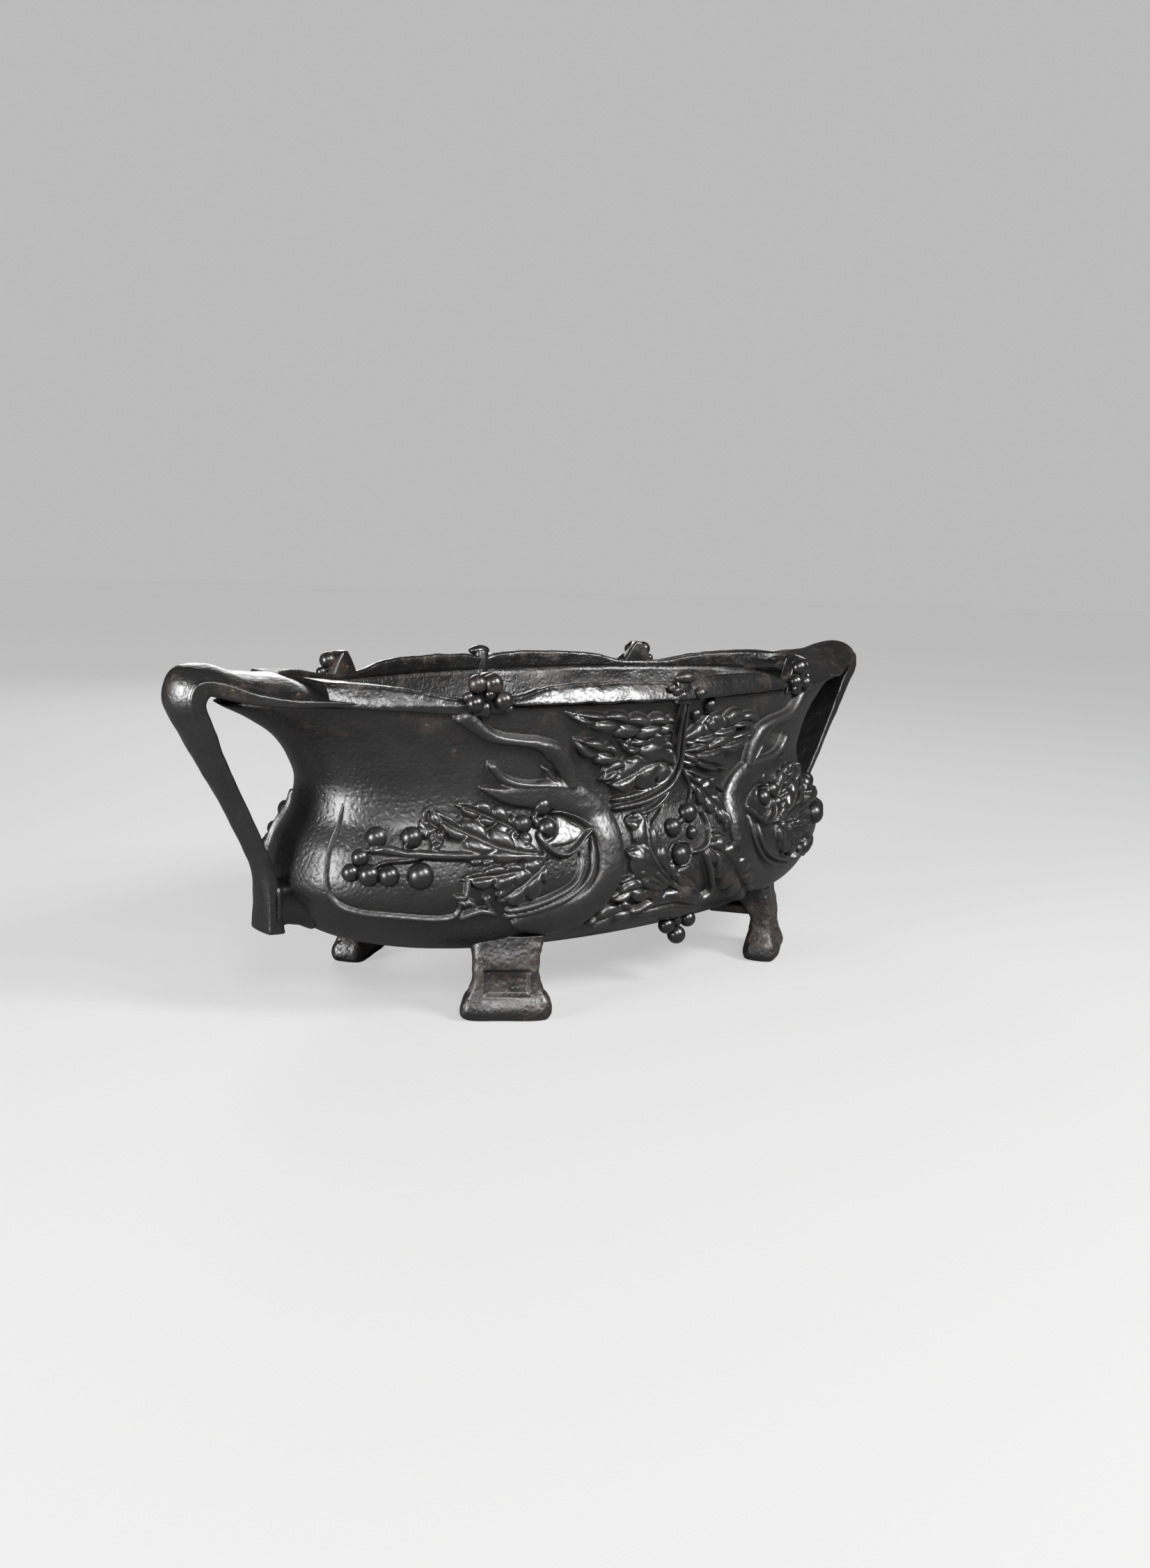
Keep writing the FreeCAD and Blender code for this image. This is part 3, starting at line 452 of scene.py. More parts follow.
def weights(z):
    """How much of the belly, the neck and the lip the bowl has at a height."""
    share = (z - underside_height) / (rim_height - underside_height)
    return [curve(body_shares, column, share) for column in (1, 2, 3)]


def skin(z, turn):
    """Points of the bowl's outside."""
    belly, neck, lip = weights(z)
    total = belly + neck + lip
    half_x = (belly * belly_length + neck * neck_length + lip * lip_length) / 2
    half_y = (belly * belly_width + neck * neck_width + lip * lip_width) / 2
    power_x = (belly * belly_power + neck * neck_power + lip * lip_power_x) / total
    power_y = (belly * belly_power + neck * neck_power + lip * lip_power_y) / total
    return ring(half_x, half_y, power_x, power_y, turn, z)


def cavity(z, turn):
    """Points of the bowl's inside."""
    belly, neck, lip = weights(z)
    total = belly + neck + lip
    walls = 2 * wall * (belly + neck)
    half_x = (belly * belly_length + neck * neck_length + lip * mouth_length - walls) / 2
    half_y = (belly * belly_width + neck * neck_width + lip * mouth_width - walls) / 2
    power_x = (belly * belly_power + neck * neck_power + lip * mouth_power_x) / total
    power_y = (belly * belly_power + neck * neck_power + lip * mouth_power_y) / total
    return ring(half_x, half_y, power_x, power_y, turn, z)


girth_turns = np.linspace(-math.pi, 0, 2001)
girth_height = underside_height + girth_share * (rim_height - underside_height)
girth_points = skin(np.full(2001, girth_height), girth_turns)
girth_lengths = np.concatenate([[0], np.cumsum(np.linalg.norm(np.diff(girth_points, axis=0), axis=1))])
girth = girth_lengths[-1] / 2


def turn_at(across):
    """The turn at a length along the front of the belly from its middle."""
    return np.interp(across + girth, girth_lengths, girth_turns)


def on_skin(share_across, share_up, out=0.0):
    """A point of the front's skin, moved out along its normal."""
    across, up = share_across * girth, share_up * rim_height
    near = 0.0002
    places = skin(np.array([up, up, up + near]), turn_at(np.array([across, across + near, across])))
    normal = np.cross(places[1] - places[0], places[2] - places[0])
    return Vector(places[0] + out * normal / np.linalg.norm(normal))


def lumps(points, size, seed):
    """Smooth noise from -1 to 1 at each point, for the unevenness of a sand casting."""
    place = points / size + seed * 17.31
    cell = np.floor(place).astype(np.int64)
    part = place - cell
    ease = part ** 3 * (part * (part * 6 - 15) + 10)
    total = 0
    for dx in (0, 1):
        for dy in (0, 1):
            for dz in (0, 1):
                key = (cell[..., 0] + dx) * 374761393 + (cell[..., 1] + dy) * 668265263
                key = key + (cell[..., 2] + dz) * 94906249
                key = (key ^ (key >> 13)) * 1274126177
                key = key ^ (key >> 16)
                value = (key & 0xffff) / 32767.5 - 1
                share = 1
                for axis, corner in enumerate((dx, dy, dz)):
                    share = share * (ease[..., axis] if corner else 1 - ease[..., axis])
                total = total + value * share
    return total


def unevenness(points, noise):
    """How far a casting's noise of several sizes moves each point."""
    return sum(height * lumps(points, width, seed) for width, height, seed in noise)


def roughened(rings, noise):
    """Rings of a tube moved out and in from their middles by noise."""
    away = rings - rings.mean(axis=1, keepdims=True)
    away /= np.maximum(np.linalg.norm(away, axis=-1, keepdims=True), 1e-12)
    return rings + away * unevenness(rings, noise)[..., None]


def grid_mesh(bm, points):
    """Adds a grid whose vertices are moved to an array of points, rows by columns."""
    rows, columns = points.shape[:2]
    made = bmesh.ops.create_grid(bm, x_segments=columns - 1, y_segments=rows - 1, size=1)["verts"]
    for vert in made:
        i = round((vert.co.y + 1) / 2 * (rows - 1))
        j = round((vert.co.x + 1) / 2 * (columns - 1))
        vert.co = points[i, j]
    return made


def tube_mesh(bm, rings, capped=True):
    """Adds a closed tube through rings of points. Capping draws its ends to their middles."""
    rings = np.concatenate([rings, rings[:, :1]], axis=1)
    if capped:
        ends = [np.repeat(rings[k].mean(0, keepdims=True), rings.shape[1], axis=0)[None] for k in (0, -1)]
        near = [(rings[k] * 0.9 + ends[k] * 0.1) for k in (0, -1)]
        rings = np.concatenate([ends[0], near[0], rings, near[1], ends[1]])
    made = grid_mesh(bm, rings)
    bmesh.ops.remove_doubles(bm, verts=made, dist=1e-6)


def ball(bm, middle, radius):
    """Adds a berry or a bud."""
    place = Matrix.Translation(middle)
    bmesh.ops.create_uvsphere(bm, u_segments=28, v_segments=18, radius=radius, matrix=place)


def soften(bm, edges, offset, segments):
    """Rounds edges, as paint and casting do."""
    bmesh.ops.bevel(
        bm, geom=list(edges), offset=offset, segments=segments, profile=0.5, affect="EDGES", material=-1)


def sharp_edges(verts):
    """The edges at vertices whose faces meet at a clear angle, each once."""
    edges = (edge for vert in verts for edge in vert.link_edges if abs(edge.calc_face_angle(0)) > 1)
    return list(dict.fromkeys(edges))


def piece(name, bm, material, nodes):
    """Makes a finished piece that rides on the planter and stands for construction nodes."""
    bmesh.ops.recalc_face_normals(bm, faces=bm.faces)
    mesh = bpy.data.meshes.new(name)
    bm.to_mesh(mesh)
    bm.free()
    mesh.polygons.foreach_set("use_smooth", [True] * len(mesh.polygons))
    mesh.materials.append(material)
    made = bpy.data.objects.new(name, mesh)
    bpy.context.scene.collection.objects.link(made)
    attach(made, "root")
    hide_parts(*nodes)


def turned(points, left, back):
    """Points of the right front quarter carried to another quarter."""
    return points * np.array([-1 if left else 1, -1 if back else 1, 1])


def sides():
    """The names of the two long sides, and whether each is the back."""
    return (("front", False), ("back", True))


def quarters():
    """The names of the four quarters, and whether each is left and at the back."""
    for side, back in sides():
        for left in (False, True):
            yield side + ("_left" if left else "_right"), left, back


def berries_on_skin(bm, berries, left, back):
    """Adds berries that sit in the bowl's skin, carried from the right front quarter."""
    for across, up, size in berries:
        ball(bm, Vector(turned(np.array(on_skin(across, up)), left, back)), size * sizes.berry_radius)


class Relief:
    """Heights over a patch of the bowl's front, drawn with strokes and leaves."""

    def __init__(self, low, high):
        across = np.arange(low[0] * girth, high[0] * girth, relief_step)
        up = np.arange(low[1] * rim_height, high[1] * rim_height, relief_step)
        self.across, self.up = np.meshgrid(across, up)
        self.height = np.full(self.across.shape, -relief_sink)

    def line(self, places, count=10):
        """A smooth line through places, in metres on the unrolled skin."""
        flat = np.array(places) * (girth, rim_height)
        flat = np.concatenate([[2 * flat[0] - flat[1]], flat, [2 * flat[-1] - flat[-2]]])
        t = np.linspace(0, 1, count, endpoint=False)[:, None]
        runs = []
        for a, b, c, d in zip(flat, flat[1:], flat[2:], flat[3:]):
            runs.append(0.5 * (2 * b + (c - a) * t + (2 * a - 5 * b + 4 * c - d) * t * t
                               + (3 * b - 3 * c + d - a) * t ** 3))
        return np.concatenate(runs + [flat[-2:-1]])

    def measure(self, line, reach):
        """The window near a line, with each point's distance, side and share along the line."""
        low, high = line.min(0) - reach, line.max(0) + reach
        near = (self.across >= low[0]) & (self.across <= high[0])
        near &= (self.up >= low[1]) & (self.up <= high[1])
        x, y = self.across[near], self.up[near]
        lengths = np.concatenate([[0], np.cumsum(np.linalg.norm(np.diff(line, axis=0), axis=1))])
        best = np.full(x.shape, 1e9)
        side, share = np.zeros_like(x), np.zeros_like(x)
        for k, (a, b) in enumerate(zip(line, line[1:])):
            run = b - a
            t = np.clip(((x - a[0]) * run[0] + (y - a[1]) * run[1]) / (run @ run), 0, 1)
            dx, dy = x - a[0] - t * run[0], y - a[1] - t * run[1]
            distance = np.hypot(dx, dy)
            closer = distance < best
            best[closer] = distance[closer]
            side[closer] = np.sign(run[0] * dy - run[1] * dx)[closer]
            share[closer] = ((lengths[k] + t * (lengths[k + 1] - lengths[k])) / lengths[-1])[closer]
        return near, best, side, share

    def raise_to(self, near, heights):
        """Lifts a window of the patch to the larger of its heights and new ones, with a soft crease."""
        old = self.height[near]
        gap = old - heights
        self.height[near] = (old + heights + np.sqrt(gap * gap + soft_width ** 2)) / 2

    def stroke(self, places, widths, height, flat=2.0, taper=end_taper):
        """A raised line, round where flat is 2 and flatter above."""
        widths = np.atleast_1d(widths)
        near, distance, side, share = self.measure(self.line(places), widths.max())
        half = np.interp(share, np.linspace(0, 1, len(widths)), widths) / 2
        ends = np.clip(np.minimum(share, 1 - share) / taper, 0, 1) ** 0.5 if taper else 1.0
        half = half * (end_width_share + (1 - end_width_share) * ends)
        q = distance / half
        fall = end_height_share + (1 - end_height_share) * ends
        top = sizes.boldness * height * fall * np.clip(1 - q ** flat, 0, 1) ** 0.5
        edge = (half - distance) * flank_slope
        self.raise_to(near, np.maximum(np.minimum(top, edge), -relief_sink))

    def leaf(self, places, left, right, lobes, height):
        """A leaf with bulging lobes along both sides and a groove for its midrib."""
        reach = leaf_margin * sizes.leaf_spread * max(left, right)
        near, distance, side, share = self.measure(self.line(places), reach)
        envelope = np.sin(math.pi * np.clip(share, 0, 1) ** leaf_root) ** leaf_fullness
        half = sizes.leaf_spread * np.where(side > 0, left, right) * np.maximum(envelope, leaf_least)
        q = distance / half
        shift = lobe_shift + np.where(side > 0, 0.0, lobe_stagger)
        phase = share * lobes - lobe_lean * np.minimum(q, 1.5) + shift
        part = phase - np.floor(phase)
        lobe = 1 - np.abs(2 * part - 1) ** lobe_power
        edge = (half * (lobe_valley + lobe_swell * lobe) - distance) * flank_slope
        spread = np.clip(q, 0, 1)
        seam = np.exp(-(np.minimum(part, 1 - part) / seam_width) ** 2) * np.clip(1.8 * q - 0.3, 0, 1)
        groove = np.exp(-(distance / groove_width) ** 2) * np.clip(4 * (1 - share), 0, 1)
        dome = np.sin(math.pi * (0.15 + 0.72 * spread))
        crown = leaf_dome * dome * (1 - lobe_height_share + lobe_height_share * lobe)
        rise = leaf_low + crown - seam_depth * seam - midrib_depth * groove
        top = sizes.boldness * height * rise
        ends = np.clip(np.minimum(share, 1 - share) / end_taper, 0, 1)
        fall = end_height_share + (1 - end_height_share) * ends
        self.raise_to(near, np.maximum(np.minimum(top * fall, edge), -relief_sink))

    def moats(self, berries):
        """Cuts a shallow moat around each berry."""
        for across, up, size in berries:
            distance = np.hypot(self.across - across * girth, self.up - up * rim_height)
            moat = np.exp(-((distance - size * sizes.berry_radius) / moat_width) ** 2)
            self.height -= np.where(self.height > -relief_sink * 0.9, moat_depth * moat, 0)

    def crests(self):
        """How far each height stands over its neighbours, for wear on crests and dust in creases."""
        spread = 3
        padded = np.pad(np.maximum(self.height, 0), spread, mode="edge")
        total = sum(padded[i:i + self.height.shape[0], j:j + self.height.shape[1]]
                    for i in range(0, 2 * spread + 1, 2) for j in range(0, 2 * spread + 1, 2))
        return np.maximum(self.height, 0) - total / (spread + 1) ** 2

    def build(self, bm, left, back):
        """Adds the raised parts of the patch as one closed skin over a quarter or side of the bowl."""
        points = skin(self.up, turn_at(self.across))
        normals = np.cross(np.gradient(points, axis=1), np.gradient(points, axis=0))
        normals /= np.linalg.norm(normals, axis=-1, keepdims=True)
        kept = self.height > -relief_sink * 0.96
        rough = np.zeros_like(self.height)
        rough[kept] = unevenness(points[kept], relief_noise)
        tops = points + normals * (self.height + rough)[..., None]
        backs = points - normals * relief_back
        crests = self.crests()
        tops, backs = turned(tops, left, back), turned(backs, left, back)
        rows, columns = self.height.shape
        crest_layer = bm.verts.layers.float.new("crest")
        row_layer = bm.verts.layers.int.new("row")
        column_layer = bm.verts.layers.int.new("column")
        made = bmesh.ops.create_grid(bm, x_segments=columns - 1, y_segments=rows - 1, size=1)["verts"]
        for vert in made:
            i = round((vert.co.y + 1) / 2 * (rows - 1))
            j = round((vert.co.x + 1) / 2 * (columns - 1))
            vert[row_layer], vert[column_layer] = i, j
            vert[crest_layer] = crests[i, j]
            vert.co = backs[i, j]
        sunk = [f for f in bm.faces if not any(kept[v[row_layer], v[column_layer]] for v in f.verts)]
        bmesh.ops.delete(bm, geom=sunk, context="FACES")
        raised = bmesh.ops.extrude_face_region(bm, geom=bm.faces[:], use_keep_orig=True)["geom"]
        for vert in raised:
            if isinstance(vert, bmesh.types.BMVert):
                vert.co = tops[vert[row_layer], vert[column_layer]]
        for name in ("row", "column"):
            bm.verts.layers.int.remove(bm.verts.layers.int[name])


def group_sockets(tree, inputs, outputs):
    """Gives a node group its sockets and returns its input and output nodes."""
    for name, kind, default in inputs:
        socket = tree.interface.new_socket(name=name, in_out="INPUT", socket_type=kind)
        if default is not None:
            socket.default_value = default
    for name, kind in outputs:
        tree.interface.new_socket(name=name, in_out="OUTPUT", socket_type=kind)
    return tree.nodes.new("NodeGroupInput"), tree.nodes.new("NodeGroupOutput")


def math_node(tree, operation, a, b=None, clamp=False):
    """The output of a sum of two sockets or numbers."""
    node = tree.nodes.new("ShaderNodeMath")
    node.operation = operation
    node.use_clamp = clamp
    for socket, value in zip(node.inputs, (a, b)):
        if value is None:
            continue
        if isinstance(value, (int, float)):
            socket.default_value = value
        else:
            tree.links.new(value, socket)
    return node.outputs[0]


def ramp(tree, value, low, high):
    """A soft step from 0 to 1 as the value goes from low to high."""
    node = tree.nodes.new("ShaderNodeMapRange")
    node.interpolation_type = "SMOOTHSTEP"
    tree.links.new(value, node.inputs["Value"])
    node.inputs["From Min"].default_value = low
    node.inputs["From Max"].default_value = high
    return node.outputs["Result"]


def mixed(tree, factor, a, b):
    """A blend of two colours, each a value or a socket."""
    node = tree.nodes.new("ShaderNodeMix")
    node.data_type = "RGBA"
    for socket, value in ((node.inputs["A"], a), (node.inputs["B"], b)):
        if isinstance(value, tuple):
            socket.default_value = value
        else:
            tree.links.new(value, socket)
    tree.links.new(factor, node.inputs["Factor"])
    return node.outputs["Result"]


def noise_node(tree, vector, scale, detail=3.0, roughness=0.55):
    """The value of Blender's noise."""
    node = tree.nodes.new("ShaderNodeTexNoise")
    node.inputs["Scale"].default_value = scale
    node.inputs["Detail"].default_value = detail
    node.inputs["Roughness"].default_value = roughness
    tree.links.new(vector, node.inputs["Vector"])
    return node.outputs["Fac"]


def cast_grain_group():
    """The pebbled surface of a sand casting under paint, as a height from 0 to 1."""
    tree = bpy.data.node_groups.new("Cast grain", "ShaderNodeTree")
    start, end = group_sockets(
        tree, [("Vector", "NodeSocketVector", None), ("Pits", "NodeSocketFloat", 0.35)],
        [("Height", "NodeSocketFloat")])
    vector = start.outputs["Vector"]
    pebbles = noise_node(tree, vector, pebble_scale, 2.0, 0.5)
    swell = noise_node(tree, vector, swell_scale, 2.0)
    specks = noise_node(tree, vector, speck_scale, 2.0)
    cells = tree.nodes.new("ShaderNodeTexVoronoi")
    cells.feature = "SMOOTH_F1"
    cells.inputs["Scale"].default_value = pit_scale
    tree.links.new(vector, cells.inputs["Vector"])
    pits = ramp(tree, cells.outputs["Distance"], *pit_walls)
    pits = math_node(tree, "MULTIPLY", pits, start.outputs["Pits"])
    total = math_node(tree, "MULTIPLY", pebbles, pebble_height)
    total = math_node(tree, "ADD", total, math_node(tree, "MULTIPLY", swell, swell_height))
    total = math_node(tree, "ADD", total, math_node(tree, "MULTIPLY", specks, speck_height))
    total = math_node(tree, "ADD", total, pits)
    tree.links.new(total, end.inputs["Height"])
    return tree


def rust_group():
    """Brown stain in patches, more of it near a level, as a mask and a colour."""
    tree = bpy.data.node_groups.new("Rust stain", "ShaderNodeTree")
    start, end = group_sockets(tree, [
        ("Vector", "NodeSocketVector", None), ("Amount", "NodeSocketFloat", 0.2),
        ("Level", "NodeSocketFloat", 0.17), ("Reach", "NodeSocketFloat", 0.02)],
        [("Mask", "NodeSocketFloat"), ("Colour", "NodeSocketColor")])
    vector = start.outputs["Vector"]
    split = tree.nodes.new("ShaderNodeSeparateXYZ")
    tree.links.new(vector, split.inputs[0])
    off = math_node(tree, "SUBTRACT", split.outputs["Z"], start.outputs["Level"])
    off = math_node(tree, "DIVIDE", math_node(tree, "ABSOLUTE", off), start.outputs["Reach"])
    near = math_node(tree, "SUBTRACT", 1.0, off, clamp=True)
    patches = noise_node(tree, vector, rust_patch_scale, 6.0, 0.68)
    specks = ramp(tree, noise_node(tree, vector, rust_speck_scale, 3.0), *rust_speck_range)
    lift = math_node(tree, "MULTIPLY", near, rust_near_level)
    by_amount = math_node(tree, "MULTIPLY", start.outputs["Amount"], rust_by_amount)
    lift = math_node(tree, "ADD", lift, by_amount)
    mask = ramp(tree, math_node(tree, "ADD", patches, lift), *rust_patch_range)
    strength = math_node(tree, "ADD", rust_thin, math_node(tree, "MULTIPLY", specks, 1 - rust_thin))
    mask = math_node(tree, "MULTIPLY", mask, strength)
    tree.links.new(mask, end.inputs["Mask"])
    tree.links.new(mixed(tree, specks, rust_dark, rust_bright), end.inputs["Colour"])
    return tree


def add_group(tree, name, maker, vector, **values):
    """Places a shared node group, which is made when it is first used."""
    node = tree.nodes.new("ShaderNodeGroup")
    node.node_tree = bpy.data.node_groups.get(name) or maker()
    tree.links.new(vector, node.inputs["Vector"])
    for socket, value in values.items():
        node.inputs[socket].default_value = value
    return node


def painted_iron(name, paint, roughness, grain, rust, pits=0.35, level=0.17, reach=0.02):
    """Black paint over rough cast iron, thin on the crests, dusty in the creases and browned in patches."""
    material = bpy.data.materials.new(name)
    material.use_nodes = True
    tree = material.node_tree
    tree.nodes.clear()
    out = tree.nodes.new("ShaderNodeOutputMaterial")
    shader = tree.nodes.new("ShaderNodeBsdfPrincipled")
    vector = tree.nodes.new("ShaderNodeTexCoord").outputs["Object"]
    cast = add_group(tree, "Cast grain", cast_grain_group, vector, Pits=pits)
    stain = add_group(tree, "Rust stain", rust_group, vector, Amount=rust, Level=level, Reach=reach)
    crest = tree.nodes.new("ShaderNodeAttribute")
    crest.attribute_name = "crest"
    worn = ramp(tree, crest.outputs["Fac"], *worn_heights)
    dusty = ramp(tree, math_node(tree, "MULTIPLY", crest.outputs["Fac"], -1.0), *dusty_heights)
    cloud = noise_node(tree, vector, cloud_scale, 4.0, 0.6)
    dark = tuple(thick_paint * c for c in paint) + (1,)
    pale = tuple(worn_paint * c for c in paint) + (1,)
    colour = mixed(tree, ramp(tree, cloud, *cloud_range), dark, tuple(paint) + (1,))
    colour = mixed(tree, math_node(tree, "MULTIPLY", worn, wear_share), colour, pale)
    colour = mixed(tree, math_node(tree, "MULTIPLY", dusty, dust_share), colour, dust_colour)
    colour = mixed(tree, stain.outputs["Mask"], colour, stain.outputs["Colour"])
    tree.links.new(colour, shader.inputs["Base Color"])
    cloudy = math_node(tree, "MULTIPLY", cloud, cloud_roughness)
    rough = math_node(tree, "ADD", roughness - cloud_roughness / 2, cloudy)
    rough = math_node(tree, "ADD", rough, math_node(tree, "MULTIPLY", dusty, dust_roughness))
    stained = math_node(tree, "MULTIPLY", stain.outputs["Mask"], rust_roughness)
    rough = math_node(tree, "ADD", rough, stained, clamp=True)
    tree.links.new(rough, shader.inputs["Roughness"])
    bump = tree.nodes.new("ShaderNodeBump")
    bump.inputs["Strength"].default_value = 1.0
    bump.inputs["Distance"].default_value = grain
    tree.links.new(cast.outputs["Height"], bump.inputs["Height"])
    tree.links.new(bump.outputs["Normal"], shader.inputs["Normal"])
    shader.inputs["Specular IOR Level"].default_value = paint_specular
    shader.inputs["Coat Weight"].default_value = coat_weight
    shader.inputs["Coat Roughness"].default_value = coat_roughness
    tree.links.new(shader.outputs["BSDF"], out.inputs["Surface"])
    return material


def length(name, description, default):
    """A size setting in metres."""
    return bpy.props.FloatProperty(name=name, description=description, default=default, min=0, unit="LENGTH")


class PlanterShape(bpy.types.PropertyGroup):
    """Sizes of the castings."""
    strap_width: length("Strap width", "How wide a handle's strap is where it starts", 0.026)
    strap_thickness: length("Strap thickness", "How thick a handle's strap is at its side", 0.0075)
    band_proud: length("Band proud", "How far the rim's band stands out from the lip", 0.0035)
    band_lean: length("Band lean", "How far the rim's band leans in over its height", 0.0055)
    band_dip: length("Band dip", "How far the band's lower edge comes down at the berries", 0.0055)
    berry_radius: length("Berry radius", "Radius of a berry of size 1", 0.0055)
    boldness: bpy.props.FloatProperty(
        name="Boldness", description="How high the relief stands against its drawing", default=1.3, min=0)
    leaf_spread: bpy.props.FloatProperty(
        name="Leaf spread", description="How wide the leaves are against their drawing", default=1.2, min=0)


class PlanterFinish(bpy.types.PropertyGroup):
    """Colours and finish of the painted iron."""
    paint: bpy.props.FloatVectorProperty(
        name="Paint", description="Colour of the black paint", default=(0.008, 0.0078, 0.0078),
        subtype="COLOR", min=0, max=1)
    roughness: bpy.props.FloatProperty(
        name="Roughness", description="Roughness of the paint", default=0.41, min=0, max=1, subtype="FACTOR")
    rust: bpy.props.FloatProperty(
        name="Rust", description="How much brown shows through the paint", default=0.12, min=0, max=1,
        subtype="FACTOR")
    grain: length("Grain", "Height of the casting's pebbles under the paint", 0.0003)


class PlanterStudio(bpy.types.PropertyGroup):
    """The camera, floor and lamps."""
    camera_place: bpy.props.FloatVectorProperty(
        name="Camera", description="Where the camera stands", default=(-0.5412, -0.6203, 0.2474),
        subtype="XYZ", unit="LENGTH")
    yaw: bpy.props.FloatProperty(
        name="Yaw", description="Turn of the view to the right of +Y", default=math.radians(41.32),
        unit="ROTATION")
    pitch: bpy.props.FloatProperty(
        name="Pitch", description="How far the view looks down", default=math.radians(9.88), unit="ROTATION")
    roll: bpy.props.FloatProperty(
        name="Roll", description="Lean of the camera", default=math.radians(1.83), unit="ROTATION")
    lens: bpy.props.FloatProperty(
        name="Lens", description="Focal length on a frame 36 mm high", default=32.13, unit="CAMERA")
    floor_colour: bpy.props.FloatVectorProperty(
        name="Floor", description="Colour of the floor", default=(0.15, 0.15, 0.149), subtype="COLOR",
        min=0, max=1)
    glow: bpy.props.FloatProperty(
        name="Glow", description="How bright the floor and the air behind look to the camera",
        default=0.47, min=0)
    sky: bpy.props.FloatProperty(
        name="Sky", description="Strength of the even light around", default=0.07, min=0)


def lamp(name, place, size, watts):
    """Adds a soft rectangular lamp that faces the planter."""
    light = bpy.data.lights.new(name, "AREA")
    light.shape = "RECTANGLE"
    light.size, light.size_y = size
    light.energy = watts
    made = bpy.data.objects.new(name, light)
    made.location = place
    made.rotation_euler = (Vector(lamp_target) - Vector(place)).to_track_quat("-Z", "Y").to_euler()
    bpy.context.scene.collection.objects.link(made)


class PLANTER_OT_stage(bpy.types.Operator):
    """Sets up the camera, the pale floor and the soft lamps"""
    bl_idname = "planter.stage"
    bl_label = "Set up the studio"

    def execute(self, context):
        studio = context.scene.planter_studio
        data = bpy.data.cameras.new("photo_camera")
        data.sensor_fit = "VERTICAL"
        data.sensor_height = frame_height
        data.lens = studio.lens
        data.clip_start = 0.01
        camera = bpy.data.objects.new("photo_camera", data)
        yaw, pitch, roll = studio.yaw, studio.pitch, studio.roll
        ahead = Vector((math.sin(yaw) * math.cos(pitch), math.cos(yaw) * math.cos(pitch), -math.sin(pitch)))
        right = Vector((math.cos(yaw), -math.sin(yaw), 0))
        up = right.cross(ahead)
        lean, rise = math.sin(roll), math.cos(roll)
        right, up = rise * right + lean * up, rise * up - lean * right
        stand = Matrix((right, up, -ahead)).transposed().to_4x4()
        stand.translation = Vector(studio.camera_place)
        camera.matrix_world = stand
        context.scene.collection.objects.link(camera)
        context.scene.camera = camera
        context.scene.view_settings.view_transform = "Standard"
        bm = bmesh.new()
        bmesh.ops.create_circle(bm, cap_ends=True, segments=96, radius=floor_radius)
        mesh = bpy.data.meshes.new("studio_floor")
        bm.to_mesh(mesh)
        bm.free()
        floor = bpy.data.objects.new("studio_floor", mesh)
        mesh.materials.append(self.floor_material(studio.floor_colour, studio.glow))
        context.scene.collection.objects.link(floor)
        context.scene.world = self.pale_world(studio.sky, studio.glow)
        for name, (place, size, watts) in lamps.items():
            lamp(name, place, size, watts)
        return {"FINISHED"}

    def pale_world(self, sky, glow):
        """Even light from all round, paler where the camera looks past the floor."""
        world = bpy.data.worlds.new("Studio")
        world.use_nodes = True
        tree = world.node_tree
        background = tree.nodes["Background"]
        background.inputs["Color"].default_value = (1, 1, 1, 1)
        seen = tree.nodes.new("ShaderNodeLightPath").outputs["Is Camera Ray"]
        strength = math_node(tree, "ADD", sky, math_node(tree, "MULTIPLY", seen, glow + air_over_floor - sky))
        tree.links.new(strength, background.inputs["Strength"])
        return world

    def floor_material(self, colour, glow):
        """A floor that is pale to the camera and grey in the paint's reflections."""
        material = bpy.data.materials.new("Pale floor")
        material.use_nodes = True
        tree = material.node_tree
        shader = tree.nodes["Principled BSDF"]
        shader.inputs["Base Color"].default_value = tuple(colour) + (1,)
        shader.inputs["Roughness"].default_value = 0.7
        shader.inputs["Specular IOR Level"].default_value = 0.2
        seen = tree.nodes.new("ShaderNodeLightPath").outputs["Is Camera Ray"]
        shader.inputs["Emission Color"].default_value = (1, 1, 1, 1)
        tree.links.new(math_node(tree, "MULTIPLY", seen, glow), shader.inputs["Emission Strength"])
        return material


def casting(name, **changes):
    """Painted iron with the finish settings and a casting's own changes."""
    finish = bpy.context.scene.planter_finish
    values = {"roughness": finish.roughness, "rust": finish.rust, "grain": finish.grain}
    values.update(changes)
    return painted_iron(name, tuple(finish.paint), **values)


